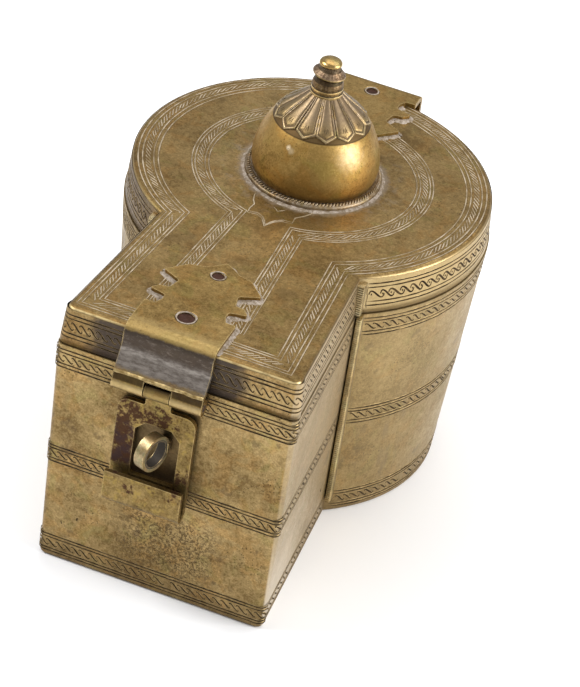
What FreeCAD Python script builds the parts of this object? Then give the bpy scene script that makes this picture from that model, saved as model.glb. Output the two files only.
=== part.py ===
import FreeCAD
import Part
import math
import os

# A lidded brass box, keyhole shaped in plan: a round chamber with a spout towards -Y.
# Millimetres, +Z up, origin at the centre of the round chamber on the underside of the base.

# Lid plan
lid_radius = 45.0            # outside of the round part
lid_front = 85.2             # round centre to the front face of the spout
lid_front_half = 29.6        # half width of the spout at its front face
spout_flare = 0.07           # sideways spread of the spout for each millimetre forward
lid_corner_radius = 2.2      # the two front corners, seen from above

# Body
rim_ledge = 0.9              # how far the body's rim stands out from the lid all round
body_height = 63.9           # underside of the base to the rim
round_taper = 4.6            # the round wall's radius is this much smaller at the foot
front_taper = 2.4            # the front face leans in by this much at the foot
side_taper = 0.9             # so does each side of the spout
wall_thickness = 1.8
base_thickness = 1.6
base_edge_radius = 0.9
body_corner_radius = 1.9
least_corner_radius = 0.3    # inside corners are never sharper than this

# Lid
lid_height = 10.2            # lower edge of the skirt to the top face
lid_seam = 0.15              # gap between the closed lid and the rim
lid_plate_thickness = 1.6
lid_edge_radius = 1.1
skirt_thickness = 1.5

# Collar inside the rim that centres the closed lid
collar_rise = 2.8            # above the rim
collar_depth = 4.5           # below the rim
collar_thickness = 1.1
collar_clearance = 0.35      # between the collar and the lid's skirt

# Upright strips in the two inner corners
strip_width = 1.1
strip_proud = 1.5            # how far a strip stands out of the corner
strip_gap = 0.5              # open seam between a strip and the side of the spout
strip_foot = 3.0             # lower end of a body strip above the base
lid_strip_width = 1.9

# Dome on the lid: radius and height above the lid at points from the foot to the crown
dome_points = ((14.2, 0.0), (15.8, 3.6), (15.6, 7.6), (14.3, 12.0),
               (12.2, 15.8), (8.9, 18.9), (4.6, 21.3), (1.6, 22.3))
dome_wall = 1.2
ring_width = 1.4             # flat ring that the dome stands in, beyond the dome's widest
ring_height = 1.3

# Petal cap on the crown
petal_count = 13
petal_first_angle = -3.0     # degrees from the front, of one petal's tip
petal_tip_radius = 12.5
petal_shoulder_radius = 11.9
petal_shoulder_share = 0.62  # of half a petal's angle
petal_valley_radius = 10.6
petal_thickness = 0.7

# Finial, from the petal cap upwards
finial_ring_height = 3.0
finial_ring_radius = 4.0
finial_groove = 0.45
finial_neck_height = 1.1
finial_neck_radius = 3.0
finial_collar_height = 2.3
finial_collar_radius = 4.1
finial_throat_radius = 2.3
finial_ball_radius = 2.85
finial_ball_rise = 2.2       # the ball's centre above the collar
stem_radius = 1.6
stem_head_radius = 3.0
stem_head_height = 1.0

# Strap hinges, front and rear
strap_thickness = 1.2
front_bend_radius = 3.2      # outside of the bend over the lid's edge
strap_straight_drop = 4.4    # lid top down to where the strap starts to sweep outwards
strap_sweep_radius = 6.0
strap_lip_drop = 9.6         # lid top down to the lip above the knuckles
strap_lip_reach = 4.6        # lip in front of the strap's inner face
knuckle_radius = 2.1
knuckle_wall_gap = 0.35      # between the front knuckles and the body's rim
knuckle_below_lip = 1.25     # lip down to the knuckles
middle_knuckle = 6.4         # length of the single knuckle between the strap's two
knuckle_gap = 0.25
pin_radius = 1.0
pin_clearance = 0.05

front_strap_x = -2.8         # the front fittings sit a little left of the centre line
front_strap_half = 11.4
front_strap_length = 35.0    # lid's front edge to the tip
front_notch_shift = 1.1      # the left notches are this much nearer the front
rear_strap_x = -0.3
rear_strap_half = 12.0
rear_strap_to_ring = 2.4     # strap's tip to the ring round the dome
rear_bend_radius = 2.0
rear_strap_gap = 2.6         # strap's inner face behind the round skirt

# Outline of a strap's far end, measured from its tip
cusp_from_tip = 3.1
cusp_half = 4.3
notch_from_tip = 9.0
far_notch_width = 6.4
bead_width = 2.4             # small lobe between the two notches
near_notch_width = 5.2
notch_depth = 3.5
lobe_bulge = 0.9             # the lobes stand out from the straight side by this much
lobe_radius = 0.5
notch_radius = 0.8
cusp_radius = 0.3
tip_radius = 0.6

# Rivets through the straps and the lid
near_rivet_radius = 2.2
near_rivet_back = 9.0        # from the strap's bend edge
far_rivet_radius = 1.6
far_rivet_back = 29.0
rear_rivet_radius = 1.55
rear_edge_rivet_inset = 2.1  # from the lid's edge, over the skirt
rear_inner_rivet_from_tip = 9.4
rivet_recess = 0.35          # rivet end below the strap's face
rivet_recess_width = 0.65    # bevel round the rivet end
rivet_head_height = 0.8
rivet_head_spread = 1.0

# Hasp
hasp_thickness = 1.2
hasp_half = 9.9
hasp_knuckle_radius = 2.0
hasp_shoulder_drop = 5.05    # pin down to the plate's shoulders
hasp_shoulder_radius = 2.8
hasp_below_window = 8.2      # window down to the fold at the bottom
hasp_lip_gap = 2.2           # open space behind the finger lip
hasp_lip_height = 9.2        # fold up to the lip's upper edge
hasp_fold_radius = 2.3       # outside of the fold
window_left = 4.9            # from the hasp's centre line
window_right = 6.5
window_head_room = 0.45      # above the staple's ring
window_foot_room = 5.75      # below the ring
window_bevel = 2.4
window_corner_radius = 0.6
tongue_corner_radius = 0.6   # inside corners beside the hasp's tongue

# Staple
staple_x = -0.4
staple_drop = 15.3           # the hasp's pin down to the ring's centre
staple_reach = 5.5           # ring centre in front of the front wall
staple_outer = 4.7
staple_strip = 1.3
staple_width = 2.8
staple_twist = 20.0          # degrees, turned to the left
staple_tail = 5.0            # length of each bent-over leg inside
staple_slot_clearance = 0.1

# Rear leaf on the round wall
leaf_half = 10.0
leaf_thickness = 1.2
leaf_top_drop = 17.4         # lid top down to the leaf's upper edge
leaf_height = 16.0
leaf_corner_radius = 2.5
leaf_rivet_radius = 1.5
leaf_rivet_x = 6.2
leaf_rivet_drop = 26.0       # lid top down to the rivets
leaf_rivet_head = 0.7        # height of the domed heads
leaf_rivet_spread = 0.9      # a head's edge beyond the shank
leaf_rivet_sink = 0.5        # the dome starts this far behind the face at the rivet's centre

# Worked out from the sizes above
rim_z = body_height
skirt_z = rim_z + lid_seam
lid_top = skirt_z + lid_height
plate_z = lid_top - lid_plate_thickness
body_radius = lid_radius + rim_ledge
body_front = lid_front + rim_ledge
flare_scale = math.hypot(1.0, spout_flare)
lid_side = lid_front_half - spout_flare * lid_front
body_side = lid_side + rim_ledge * flare_scale
pin_z = lid_top - strap_lip_drop - knuckle_below_lip - knuckle_radius
knuckle_reach = rim_ledge + knuckle_wall_gap + knuckle_radius
front_pin_y = -lid_front - knuckle_reach
rear_pin_y = lid_radius + rear_strap_gap + knuckle_reach
ring_radius = max(dome_points)[0] + ring_width
rear_tip_y = ring_radius + rear_strap_to_ring
staple_height = pin_z - staple_drop
window_top = staple_height + staple_outer + window_head_room
window_bottom = staple_height - staple_outer - window_foot_room
hasp_bottom = window_bottom - hasp_below_window
far = 400.0                  # cutting solids reach this far
same_point = 1e-6


def point(x, y, z=0.0):
    return FreeCAD.Vector(x, y, z)


X_AXIS = point(1, 0)
Y_AXIS = point(0, 1)
Z_AXIS = point(0, 0, 1)


def save(name, shape):
    shape.exportStep("parts/" + name + ".step")
    print(name, "solids", len(shape.Solids), "volume", round(shape.Volume, 1), "valid", shape.isValid())


def line(a, b):
    return Part.LineSegment(a, b).toShape()


def box(x0, x1, y0, y1, z0, z1):
    return Part.makeBox(x1 - x0, y1 - y0, z1 - z0, point(x0, y0, z0))


def cylinder(radius, z0, z1, x=0.0, y=0.0):
    return Part.makeCylinder(radius, z1 - z0, point(x, y, z0))


def cylinder_x(radius, x0, x1, y, z):
    return Part.makeCylinder(radius, x1 - x0, point(x0, y, z), X_AXIS)


def rounded_face(points, radii):
    """Face with straight edges through the points and an arc of each point's radius."""
    count = len(points)
    edges = []
    starts = []
    ends = []
    for i, corner in enumerate(points):
        radius = radii[i]
        if radius <= 0:
            starts.append(corner)
            ends.append(corner)
            edges.append(None)
            continue
        before = (points[i - 1] - corner).normalize()
        after = (points[(i + 1) % count] - corner).normalize()
        half = before.getAngle(after) / 2
        reach = radius / math.tan(half)
        first = corner + before * reach
        last = corner + after * reach
        middle = corner + (before + after).normalize() * (radius / math.sin(half) - radius)
        starts.append(first)
        ends.append(last)
        edges.append(Part.Arc(first, middle, last).toShape())
    chain = []
    for i in range(count):
        if edges[i] is not None:
            chain.append(edges[i])
        following = starts[(i + 1) % count]
        if (following - ends[i]).Length > same_point:
            chain.append(line(ends[i], following))
    return Part.Face(Part.Wire(chain))


def strip_face(points, radii, other_radii, thickness):
    """A strip of even thickness beside the path, on the path's right-hand side in the YZ plane."""
    normals = []
    for a, b in zip(points, points[1:]):
        run = (b - a).normalize()
        normals.append(point(0, run.z, -run.y))
    other = [points[0] + normals[0] * thickness]
    for i in range(1, len(points) - 1):
        joint = normals[i - 1] + normals[i]
        other.append(points[i] + joint * (thickness / (1 + normals[i - 1].dot(normals[i]))))
    other.append(points[-1] + normals[-1] * thickness)
    return rounded_face(points + other[::-1], radii + other_radii[::-1])


def frustum(lower, upper):
    """A solid with flat faces between two outlines that have the same number of points."""
    count = len(lower)
    faces = [Part.Face(Part.makePolygon(lower + [lower[0]])), Part.Face(Part.makePolygon(upper + [upper[0]]))]
    for i in range(count):
        j = (i + 1) % count
        faces.append(Part.Face(Part.makePolygon([lower[i], lower[j], upper[j], upper[i], lower[i]])))
    solid = Part.Solid(Part.Shell(faces))
    if solid.Volume < 0:
        solid.reverse()
    return solid


def spout_outline(side, front, z):
    """Four corners of a spout, from the round centre to its front."""
    half = side + spout_flare * front
    return [point(side, 0, z), point(half, -front, z), point(-half, -front, z), point(-side, 0, z)]


def front_edges(solid, front_y):
    """The upright edges at the two front corners."""
    found = []
    for edge in solid.Edges:
        ends = [v.Point for v in edge.Vertexes]
        if len(ends) == 2 and abs(ends[0].z - ends[1].z) > 1 and max(p.y for p in ends) < front_y:
            found.append(edge)
    return found


def notch_point(radius, side):
    """Where the right side of a spout meets a circle of this radius."""
    a = 1 + spout_flare ** 2
    b = side * spout_flare
    y = (b - math.sqrt(b * b - a * (side * side - radius * radius))) / a
    return side - spout_flare * y, y


def body_level(inset, z):
    """Radius, side and front of the body's outline at a height, moved inwards by the inset."""
    share = 1 - z / rim_z
    radius = body_radius - round_taper * share - inset
    side = body_side - side_taper * share - inset * flare_scale
    front = body_front - front_taper * share - inset
    return radius, side, front


def body_cone(inset, z0, z1):
    return Part.makeCone(body_level(inset, z0)[0], body_level(inset, z1)[0], z1 - z0, point(0, 0, z0))


def body_spout(inset, z0, z1, corner):
    lower_radius, lower_side, lower_front = body_level(inset, z0)
    upper_radius, upper_side, upper_front = body_level(inset, z1)
    solid = frustum(spout_outline(lower_side, lower_front, z0), spout_outline(upper_side, upper_front, z1))
    if corner > 0:
        solid = solid.makeFillet(corner, front_edges(solid, -lower_radius))
    return solid


def lid_spout(inset, z0, z1, corner):
    points = spout_outline(lid_side - inset * flare_scale, lid_front - inset, z0)
    return rounded_face(points, [0, corner, corner, 0]).extrude(point(0, 0, z1 - z0))


# Body shell

def inner_corner():
    return max(body_corner_radius - wall_thickness, least_corner_radius)


def base_plate():
    """Keyhole plate under the walls, with a rounded lower edge."""
    shape = body_cone(0, 0, base_thickness).fuse(body_spout(0, 0, base_thickness, body_corner_radius))
    shape = shape.removeSplitter()
    lower = [e for e in shape.Edges if e.BoundBox.ZMax < base_thickness / 2]
    return shape.makeFillet(base_edge_radius, lower)


def round_wall():
    """Tapered round wall, open towards the spout."""
    shell = body_cone(0, base_thickness, rim_z).cut(body_cone(wall_thickness, base_thickness, rim_z))
    return shell.cut(body_spout(0, 0, rim_z, 0))


def spout_wall():
    """Sheet bent round the two front corners, with the staple's slot in its front."""
    outer = body_spout(0, base_thickness, rim_z, body_corner_radius)
    inner = body_spout(wall_thickness, base_thickness, rim_z, inner_corner())
    shell = outer.cut(inner).cut(body_cone(wall_thickness, base_thickness, rim_z))
    back = box(-far, far, -spout_back(), far, -far, far)
    return shell.cut(back).cut(staple_legs(staple_slot_clearance))


def spout_back():
    """The spout's sides end at least this far in front of the round centre."""
    return -notch_point(*body_level(wall_thickness, rim_z)[:2])[1] / 2


def body_cavity(z0, z1):
    return body_cone(wall_thickness, z0, z1).fuse(body_spout(wall_thickness, z0, z1, inner_corner()))


def keyhole(inset, z0, z1):
    """Solid keyhole under the lid's outline, moved inwards by the inset."""
    corner = max(lid_corner_radius - inset, least_corner_radius)
    return cylinder(lid_radius - inset, z0, z1).fuse(lid_spout(inset, z0, z1, corner))


def seat_collar():
    """Strip inside the rim that stands up into the closed lid."""
    outer_inset = skirt_thickness + collar_clearance
    lower_z = rim_z - collar_depth
    upper_z = rim_z + collar_rise
    collar = keyhole(outer_inset, rim_z, upper_z).fuse(body_cavity(lower_z, rim_z))
    return collar.cut(keyhole(outer_inset + collar_thickness, lower_z - 1, upper_z + 1)).removeSplitter()


def corner_strip(side_sign, lower, upper, gap, width, round_solid, z0, z1):
    """Upright bar in one inner corner, between the corner points at its lower and upper ends."""
    outlines = []
    for (x, y), z in ((lower, z0), (upper, z1)):
        near = x + gap
        outlines.append([
            point(side_sign * near, y - strip_proud, z),
            point(side_sign * (near + width), y - strip_proud, z),
            point(side_sign * (near + width), y + width + strip_proud, z),
            point(side_sign * near, y + width + strip_proud, z),
        ])
    return frustum(*outlines).cut(round_solid)


def body_strip(side_sign):
    z0 = base_thickness + strip_foot
    lower = notch_point(*body_level(0, z0)[:2])
    upper = notch_point(*body_level(0, rim_z)[:2])
    return corner_strip(side_sign, lower, upper, strip_gap, strip_width, body_cone(0, 0, rim_z), z0, rim_z)


def lid_strip(side_sign):
    corner = notch_point(lid_radius, lid_side)
    strip = corner_strip(side_sign, corner, corner, -spout_flare, lid_strip_width,
                         cylinder(lid_radius, skirt_z, plate_z), skirt_z, plate_z)
    return strip.cut(lid_spout(0, skirt_z, plate_z, 0))


# Lid shell

def lid_plate():
    shape = keyhole(0, plate_z, lid_top).removeSplitter()
    upper = [e for e in shape.Edges if e.BoundBox.ZMin > lid_top - lid_plate_thickness / 2]
    shape = shape.makeFillet(lid_edge_radius, upper)
    for x, y, radius in rivet_places():
        shape = shape.cut(cylinder(radius, plate_z - 1, lid_top + 1, x, y))
    return shape


def lid_round_skirt():
    shell = cylinder(lid_radius, skirt_z, plate_z)
    shell = shell.cut(cylinder(lid_radius - skirt_thickness, skirt_z, plate_z))
    return shell.cut(lid_spout(0, skirt_z, plate_z, 0))


def lid_spout_skirt():
    corner = max(lid_corner_radius - skirt_thickness, least_corner_radius)
    shell = lid_spout(0, skirt_z, plate_z, lid_corner_radius)
    shell = shell.cut(lid_spout(skirt_thickness, skirt_z, plate_z, corner))
    shell = shell.cut(cylinder(lid_radius - skirt_thickness, skirt_z, plate_z))
    return shell.cut(box(-far, far, -spout_back(), far, -far, far))


# Dome, ring, petals and finial

def dome_curve(offset):
    """Points of the dome's outline, moved outwards by the offset, and the curve through them."""
    moved = []
    last = len(dome_points) - 1
    for i, (radius, height) in enumerate(dome_points):
        before = dome_points[max(i - 1, 0)]
        after = dome_points[min(i + 1, last)]
        run = math.hypot(after[0] - before[0], after[1] - before[1])
        out_radius = (after[1] - before[1]) / run
        out_height = (before[0] - after[0]) / run
        if i == 0:
            out_radius, out_height = 1.0, 0.0
        if i == last:
            out_radius, out_height = 0.0, 1.0
        moved.append(point(radius + offset * out_radius, 0, lid_top + height + offset * out_height))
    curve = Part.BSplineCurve()
    curve.interpolate(moved)
    return moved, curve.toShape()


def revolved(edges):
    return Part.Face(Part.Wire(Part.__sortEdges__(edges))).revolve(point(0, 0), Z_AXIS, 360)


def dome_shell(inner, outer):
    """Turned shell between two offsets of the dome's outline."""
    inner_points, inner_curve = dome_curve(inner)
    outer_points, outer_curve = dome_curve(outer)
    foot = line(inner_points[0], outer_points[0])
    crown = line(inner_points[-1], outer_points[-1])
    return revolved([inner_curve, outer_curve, foot, crown])


def dome_filled():
    points, curve = dome_curve(0)
    foot_centre = point(0, 0, points[0].z)
    crown_centre = point(0, 0, points[-1].z)
    crown = line(points[-1], crown_centre)
    foot = line(foot_centre, points[0])
    return revolved([curve, crown, line(crown_centre, foot_centre), foot])


def dome():
    return dome_shell(-dome_wall, 0)


def dome_ring():
    ring = cylinder(ring_radius, lid_top, lid_top + ring_height)
    upper = [e for e in ring.Edges if e.BoundBox.ZMin > lid_top + ring_height / 2]
    return ring.makeFillet(ring_height / 2, upper).cut(dome_filled())


def petal_outline():
    """Plan of the cap: a pointed petal for each share of the circle."""
    step = 2 * math.pi / petal_count
    first = math.radians(petal_first_angle) - math.pi / 2
    points = []
    for i in range(petal_count):
        tip = first + i * step
        shoulder = petal_shoulder_share * step / 2
        for angle, radius in ((tip - step / 2, petal_valley_radius), (tip - shoulder, petal_shoulder_radius),
                              (tip, petal_tip_radius), (tip + shoulder, petal_shoulder_radius)):
            points.append(point(radius * math.cos(angle), radius * math.sin(angle)))
    return points


def petal_cap():
    """Thin cap on the crown with pointed petals round its edge."""
    outline = petal_outline()
    widest_height = max(dome_points)[1]
    cutter = Part.Face(Part.makePolygon(outline + [outline[0]]))
    cutter.translate(point(0, 0, lid_top + widest_height))
    return dome_shell(0, petal_thickness).common(cutter.extrude(point(0, 0, far)))


def finial():
    """Turned knob whose stem is headed over inside the dome."""
    crown = dome_points[-1][1]
    inside = crown - dome_wall
    foot = crown + petal_thickness
    ring_top = foot + finial_ring_height
    collar_bottom = ring_top + finial_neck_height
    collar_top = collar_bottom + finial_collar_height
    ball_centre = collar_top + finial_ball_rise
    ball_low = ball_centre - math.sqrt(finial_ball_radius ** 2 - finial_throat_radius ** 2)
    outline = [
        (0, inside - stem_head_height), (stem_head_radius, inside - stem_head_height),
        (stem_head_radius, inside), (stem_radius, inside),
        (stem_radius, foot), (finial_ring_radius - finial_groove, foot),
        (finial_ring_radius, foot + finial_groove),
        (finial_ring_radius - finial_groove, foot + 2 * finial_groove),
        (finial_ring_radius, foot + 3 * finial_groove),
        (finial_ring_radius, ring_top - finial_groove),
        (finial_neck_radius, ring_top), (finial_neck_radius, collar_bottom),
        (finial_collar_radius, collar_bottom + finial_groove),
        (finial_collar_radius, collar_top - finial_groove),
        (finial_throat_radius, collar_top), (finial_throat_radius, ball_low),
    ]
    corners = [point(r, 0, lid_top + h) for r, h in outline]
    edges = [line(a, b) for a, b in zip(corners, corners[1:])]
    centre = point(0, 0, lid_top + ball_centre)
    top = centre + point(0, 0, finial_ball_radius)
    half = math.sqrt(0.5) * finial_ball_radius
    edges.append(Part.Arc(corners[-1], centre + point(half, 0, half), top).toShape())
    edges.append(line(top, corners[0]))
    return revolved(edges).cut(dome())


# Strap hinges. Each strap is drawn with its outward side towards +Y and its inner face on y = 0.

def strap_side(half):
    """One side of a strap's far end: distance from the middle, distance from the tip and corner radius."""
    floor = half - notch_depth
    lobe = half + lobe_bulge
    far_end = notch_from_tip + far_notch_width
    bead_end = far_end + bead_width
    near_end = bead_end + near_notch_width
    return [
        (cusp_half * 0.6, cusp_from_tip * 0.55, notch_radius),
        (cusp_half, cusp_from_tip, cusp_radius),
        ((half + cusp_half) / 2, cusp_from_tip + lobe_bulge, lobe_radius * 3),
        (half - notch_depth * 0.2, notch_from_tip * 0.8, notch_radius),
        (lobe, notch_from_tip, lobe_radius),
        (floor - notch_depth * 0.15, notch_from_tip + far_notch_width * 0.4, notch_radius),
        (floor + notch_depth * 0.1, far_end, notch_radius),
        (half - lobe_bulge, far_end + bead_width * 0.1, lobe_radius),
        (lobe, bead_end, lobe_radius),
        (floor, bead_end + near_notch_width * 0.2, notch_radius),
        (floor, bead_end + near_notch_width * 0.6, notch_radius),
        (floor + notch_depth * 0.25, near_end, notch_radius),
        (half, near_end, lobe_radius),
    ]


def strap_plan(half, length, near, shift):
    """Plan of a strap: straight sides, two notches on each side and a pointed tip."""
    side = strap_side(half)
    outline = [(half, near, 0)]
    outline += [(x, back - length + shift, radius) for x, back, radius in side[::-1]]
    outline += [(0, -length, tip_radius)]
    outline += [(-x, back - length, radius) for x, back, radius in side]
    outline += [(-half, near, 0)]
    points = [point(x, y, -far) for x, y, radius in outline]
    return rounded_face(points, [radius for x, y, radius in outline]).extrude(point(0, 0, 2 * far))


def strap_profile(length, bend):
    """Side view: flat on the lid, over its rounded edge, down and swept out to the lip."""
    face = strap_thickness
    points = [
        point(0, -length - 1, lid_top + face), point(0, face, lid_top + face),
        point(0, face, lid_top - strap_straight_drop), point(0, strap_lip_reach, lid_top - strap_lip_drop),
    ]
    inside_bend = min(bend - strap_thickness, lid_edge_radius)
    outer_radii = [0, bend, strap_sweep_radius, 0]
    inner_radii = [0, inside_bend, strap_sweep_radius + strap_thickness, 0]
    return strip_face(points, outer_radii, inner_radii, strap_thickness)


def strap(half, length, bend, shift):
    """One strap with its two knuckles and the pin's bore."""
    bar = strap_profile(length, bend)
    bar.translate(point(-half - 1, 0, 0))
    bar = bar.extrude(point(2 * half + 2, 0, 0))
    near = -bend
    plan = strap_plan(half, length, near, shift).fuse(box(-half, half, near, far, -far, far))
    bar = bar.common(plan)
    tube = cylinder_x(knuckle_radius, -half, half, knuckle_reach, pin_z)
    neck_top = lid_top - strap_lip_drop
    neck = Part.Face(Part.makePolygon([
        point(-half, knuckle_reach, pin_z), point(-half, knuckle_reach + knuckle_radius, pin_z),
        point(-half, strap_lip_reach, neck_top), point(-half, knuckle_reach, neck_top),
        point(-half, knuckle_reach, pin_z)])).extrude(point(2 * half, 0, 0))
    lip_floor = neck_top - strap_thickness / 2
    half_gap = middle_knuckle / 2 + knuckle_gap
    middle = box(-half_gap, half_gap, -far, far, -far, lip_floor)
    shape = bar.fuse(tube).fuse(neck).cut(middle)
    return shape.removeSplitter()


def front_place(shape):
    """Turn a strap drawn towards +Y round to the front edge."""
    turned = shape.copy()
    turned.rotate(point(0, 0), Z_AXIS, 180)
    turned.translate(point(front_strap_x, -lid_front, 0))
    return turned


def rear_place(shape):
    placed = shape.copy()
    placed.translate(point(rear_strap_x, lid_radius + rear_strap_gap, 0))
    return placed


def front_rivets():
    return ((front_strap_x, -lid_front + near_rivet_back, near_rivet_radius),
            (front_strap_x, -lid_front + far_rivet_back, far_rivet_radius))


def rear_rivets():
    return ((rear_strap_x, lid_radius - rear_edge_rivet_inset, rear_rivet_radius),
            (rear_strap_x, rear_tip_y + rear_inner_rivet_from_tip, rear_rivet_radius))


def rivet_places():
    return front_rivets() + rear_rivets()


def edge_rivet(x, y, radius):
    """Rivet through a strap and the lid's plate, ending flush over the skirt."""
    return cylinder(radius, plate_z, lid_top + strap_thickness - rivet_recess, x, y)


def rivet(x, y, radius):
    """Rivet through a strap and the lid, flush outside and headed inside."""
    shank = cylinder(radius, plate_z - rivet_head_height, lid_top + strap_thickness - rivet_recess, x, y)
    head = cylinder(radius + rivet_head_spread, plate_z - rivet_head_height, plate_z, x, y)
    lower = [e for e in head.Edges if e.BoundBox.ZMax < plate_z - rivet_head_height / 2]
    return shank.fuse(head.makeFillet(rivet_head_height * 0.6, lower)).removeSplitter()


def rivet_hole(x, y, radius):
    """Bore for a rivet, with a bevel at the strap's face."""
    face = lid_top + strap_thickness
    bore = cylinder(radius, plate_z, face, x, y)
    bevel = Part.makeCone(radius, radius + rivet_recess_width, rivet_recess, point(x, y, face - rivet_recess))
    return bore.fuse(bevel)


def front_strap():
    shape = front_place(strap(front_strap_half, front_strap_length, front_bend_radius, front_notch_shift))
    for place in front_rivets():
        shape = shape.cut(rivet_hole(*place))
    return shape.cut(cylinder_x(pin_radius, -far, far, front_pin_y, pin_z))


def rear_strap():
    length = lid_radius + rear_strap_gap - rear_tip_y
    shape = rear_place(strap(rear_strap_half, length, rear_bend_radius, 0))
    for place in rear_rivets():
        shape = shape.cut(rivet_hole(*place))
    return shape.cut(cylinder_x(pin_radius + pin_clearance, -far, far, rear_pin_y, pin_z))


def hasp_pin():
    left = front_strap_x - front_strap_half
    return cylinder_x(pin_radius, left, left + 2 * front_strap_half, front_pin_y, pin_z)


def rear_hinge_pin():
    left = rear_strap_x - rear_strap_half
    return cylinder_x(pin_radius, left, left + 2 * rear_strap_half, rear_pin_y, pin_z)


# Hasp

def hasp_plate():
    """Plate with a window, a knuckle above and a finger lip folded up below."""
    back = front_pin_y + hasp_knuckle_radius
    lip_face = back - 2 * hasp_thickness - hasp_lip_gap
    path = [
        point(0, lip_face, hasp_bottom + hasp_lip_height), point(0, lip_face, hasp_bottom),
        point(0, back, hasp_bottom), point(0, back, pin_z),
    ]
    outer_radii = [0, hasp_fold_radius, hasp_fold_radius, 0]
    inner_radii = [0, hasp_fold_radius - hasp_thickness, hasp_fold_radius - hasp_thickness, 0]
    sheet = strip_face(path, outer_radii, inner_radii, -hasp_thickness)
    sheet.translate(point(front_strap_x - hasp_half, 0, 0))
    sheet = sheet.extrude(point(2 * hasp_half, 0, 0))
    shoulder = pin_z - hasp_shoulder_drop
    left = front_strap_x - hasp_half
    right = front_strap_x + hasp_half
    tongue_left = front_strap_x - middle_knuckle / 2
    tongue_right = front_strap_x + middle_knuckle / 2
    outline = [
        point(left, -far, -far), point(right, -far, -far), point(right, -far, shoulder),
        point(tongue_right, -far, shoulder), point(tongue_right, -far, pin_z),
        point(tongue_left, -far, pin_z), point(tongue_left, -far, shoulder), point(left, -far, shoulder),
    ]
    fillet = hasp_shoulder_radius
    inside = tongue_corner_radius
    plan = rounded_face(outline, [0, 0, fillet, inside, 0, 0, inside, fillet]).extrude(point(0, 2 * far, 0))
    knuckle = cylinder_x(hasp_knuckle_radius, tongue_left, tongue_right, front_pin_y, pin_z)
    shape = sheet.common(plan).fuse(knuckle).removeSplitter()
    shape = shape.cut(hasp_window(back))
    return shape.cut(cylinder_x(pin_radius + pin_clearance, -far, far, front_pin_y, pin_z))


def hasp_window(back):
    left = front_strap_x - window_left
    right = front_strap_x + window_right
    top = window_top
    bottom = window_bottom
    front = back - hasp_thickness - hasp_lip_gap / 2
    points = [
        point(left, front, bottom), point(right, front, bottom), point(right, front, top - window_bevel),
        point(right - window_bevel, front, top), point(left + window_bevel, front, top),
        point(left, front, top - window_bevel),
    ]
    face = rounded_face(points, [window_corner_radius] * len(points))
    return face.extrude(point(0, hasp_lip_gap + hasp_thickness, 0))


# Staple

def wall_front_y(z):
    return -body_level(0, z)[2]


def staple_legs(clearance):
    """The two legs side by side where they pass through the front wall."""
    half_height = staple_strip + clearance
    half_width = staple_width / 2 + clearance
    y = wall_front_y(staple_height)
    return box(staple_x - half_width, staple_x + half_width, y - staple_reach + staple_outer - staple_strip,
               y + wall_thickness + staple_strip, staple_height - half_height, staple_height + half_height)


def staple_ring_place(shape):
    """Move a shape drawn about the ring's neck out to the wall and give it the ring's twist."""
    placed = shape.copy()
    placed.rotate(point(0, 0), Z_AXIS, -staple_twist)
    neck_y = wall_front_y(staple_height) - staple_reach + staple_outer - staple_strip / 2
    placed.translate(point(staple_x, neck_y, staple_height))
    return placed


def hasp_staple():
    """Ring bent from a flat strip, its legs through the wall and bent apart inside."""
    ring_y = staple_strip / 2 - staple_outer
    inner = staple_outer - staple_strip
    ring = cylinder_x(staple_outer, -staple_width / 2, staple_width / 2, ring_y, 0)
    ring = staple_ring_place(ring.cut(cylinder_x(inner, -far, far, ring_y, 0)))
    bore = staple_ring_place(cylinder_x(inner, -staple_width, staple_width, ring_y, 0))
    tail_half = staple_strip + staple_tail
    inside = wall_front_y(staple_height) + wall_thickness
    tails = box(staple_x - staple_width / 2, staple_x + staple_width / 2, inside - staple_strip,
                inside + staple_strip, staple_height - tail_half, staple_height + tail_half)
    wall = body_spout(0, 0, rim_z, 0).cut(body_spout(wall_thickness, 0, rim_z, 0))
    shape = ring.fuse(staple_legs(0).cut(bore)).fuse(tails.cut(wall))
    return shape.removeSplitter()


# Rear leaf

def leaf_patch(z0, z1, corner):
    """Front view of the leaf, through the rear of the round wall."""
    left = rear_strap_x - leaf_half
    right = rear_strap_x + leaf_half
    points = [point(left, 0, z0), point(right, 0, z0), point(right, 0, z1), point(left, 0, z1)]
    return rounded_face(points, [corner] * 4).extrude(point(0, far, 0))


def rear_leaf():
    """Curved leaf riveted to the round wall, with a tongue up to the single rear knuckle."""
    z1 = lid_top - leaf_top_drop
    z0 = z1 - leaf_height
    wall = body_cone(0, 0, rim_z)
    leaf = body_cone(-leaf_thickness, 0, rim_z).cut(wall).common(leaf_patch(z0, z1, leaf_corner_radius))
    half = middle_knuckle / 2
    left = rear_strap_x - half
    wall_y = body_level(0, z1)[0]
    low = z1 - leaf_thickness * 2
    tongue = Part.Face(Part.makePolygon([
        point(left, wall_y - 1, low), point(left, body_level(-leaf_thickness, low)[0], low),
        point(left, rear_pin_y - hasp_knuckle_radius + leaf_thickness, pin_z - hasp_knuckle_radius),
        point(left, rear_pin_y, pin_z), point(left, rear_pin_y - hasp_knuckle_radius, pin_z),
        point(left, wall_y - 1, z1), point(left, wall_y - 1, low)])).extrude(point(middle_knuckle, 0, 0))
    knuckle = cylinder_x(hasp_knuckle_radius, left, left + middle_knuckle, rear_pin_y, pin_z)
    shape = leaf.fuse(tongue.cut(wall)).fuse(knuckle).removeSplitter()
    for x in leaf_rivet_xs():
        shape = shape.cut(leaf_rivet_bore(x))
    return shape.cut(cylinder_x(pin_radius, -far, far, rear_pin_y, pin_z))


def leaf_rivet_xs():
    return (rear_strap_x - leaf_rivet_x, rear_strap_x + leaf_rivet_x)


def cylinder_y(radius, y0, y1, x, z):
    return Part.makeCylinder(radius, y1 - y0, point(x, y0, z), Y_AXIS)


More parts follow.
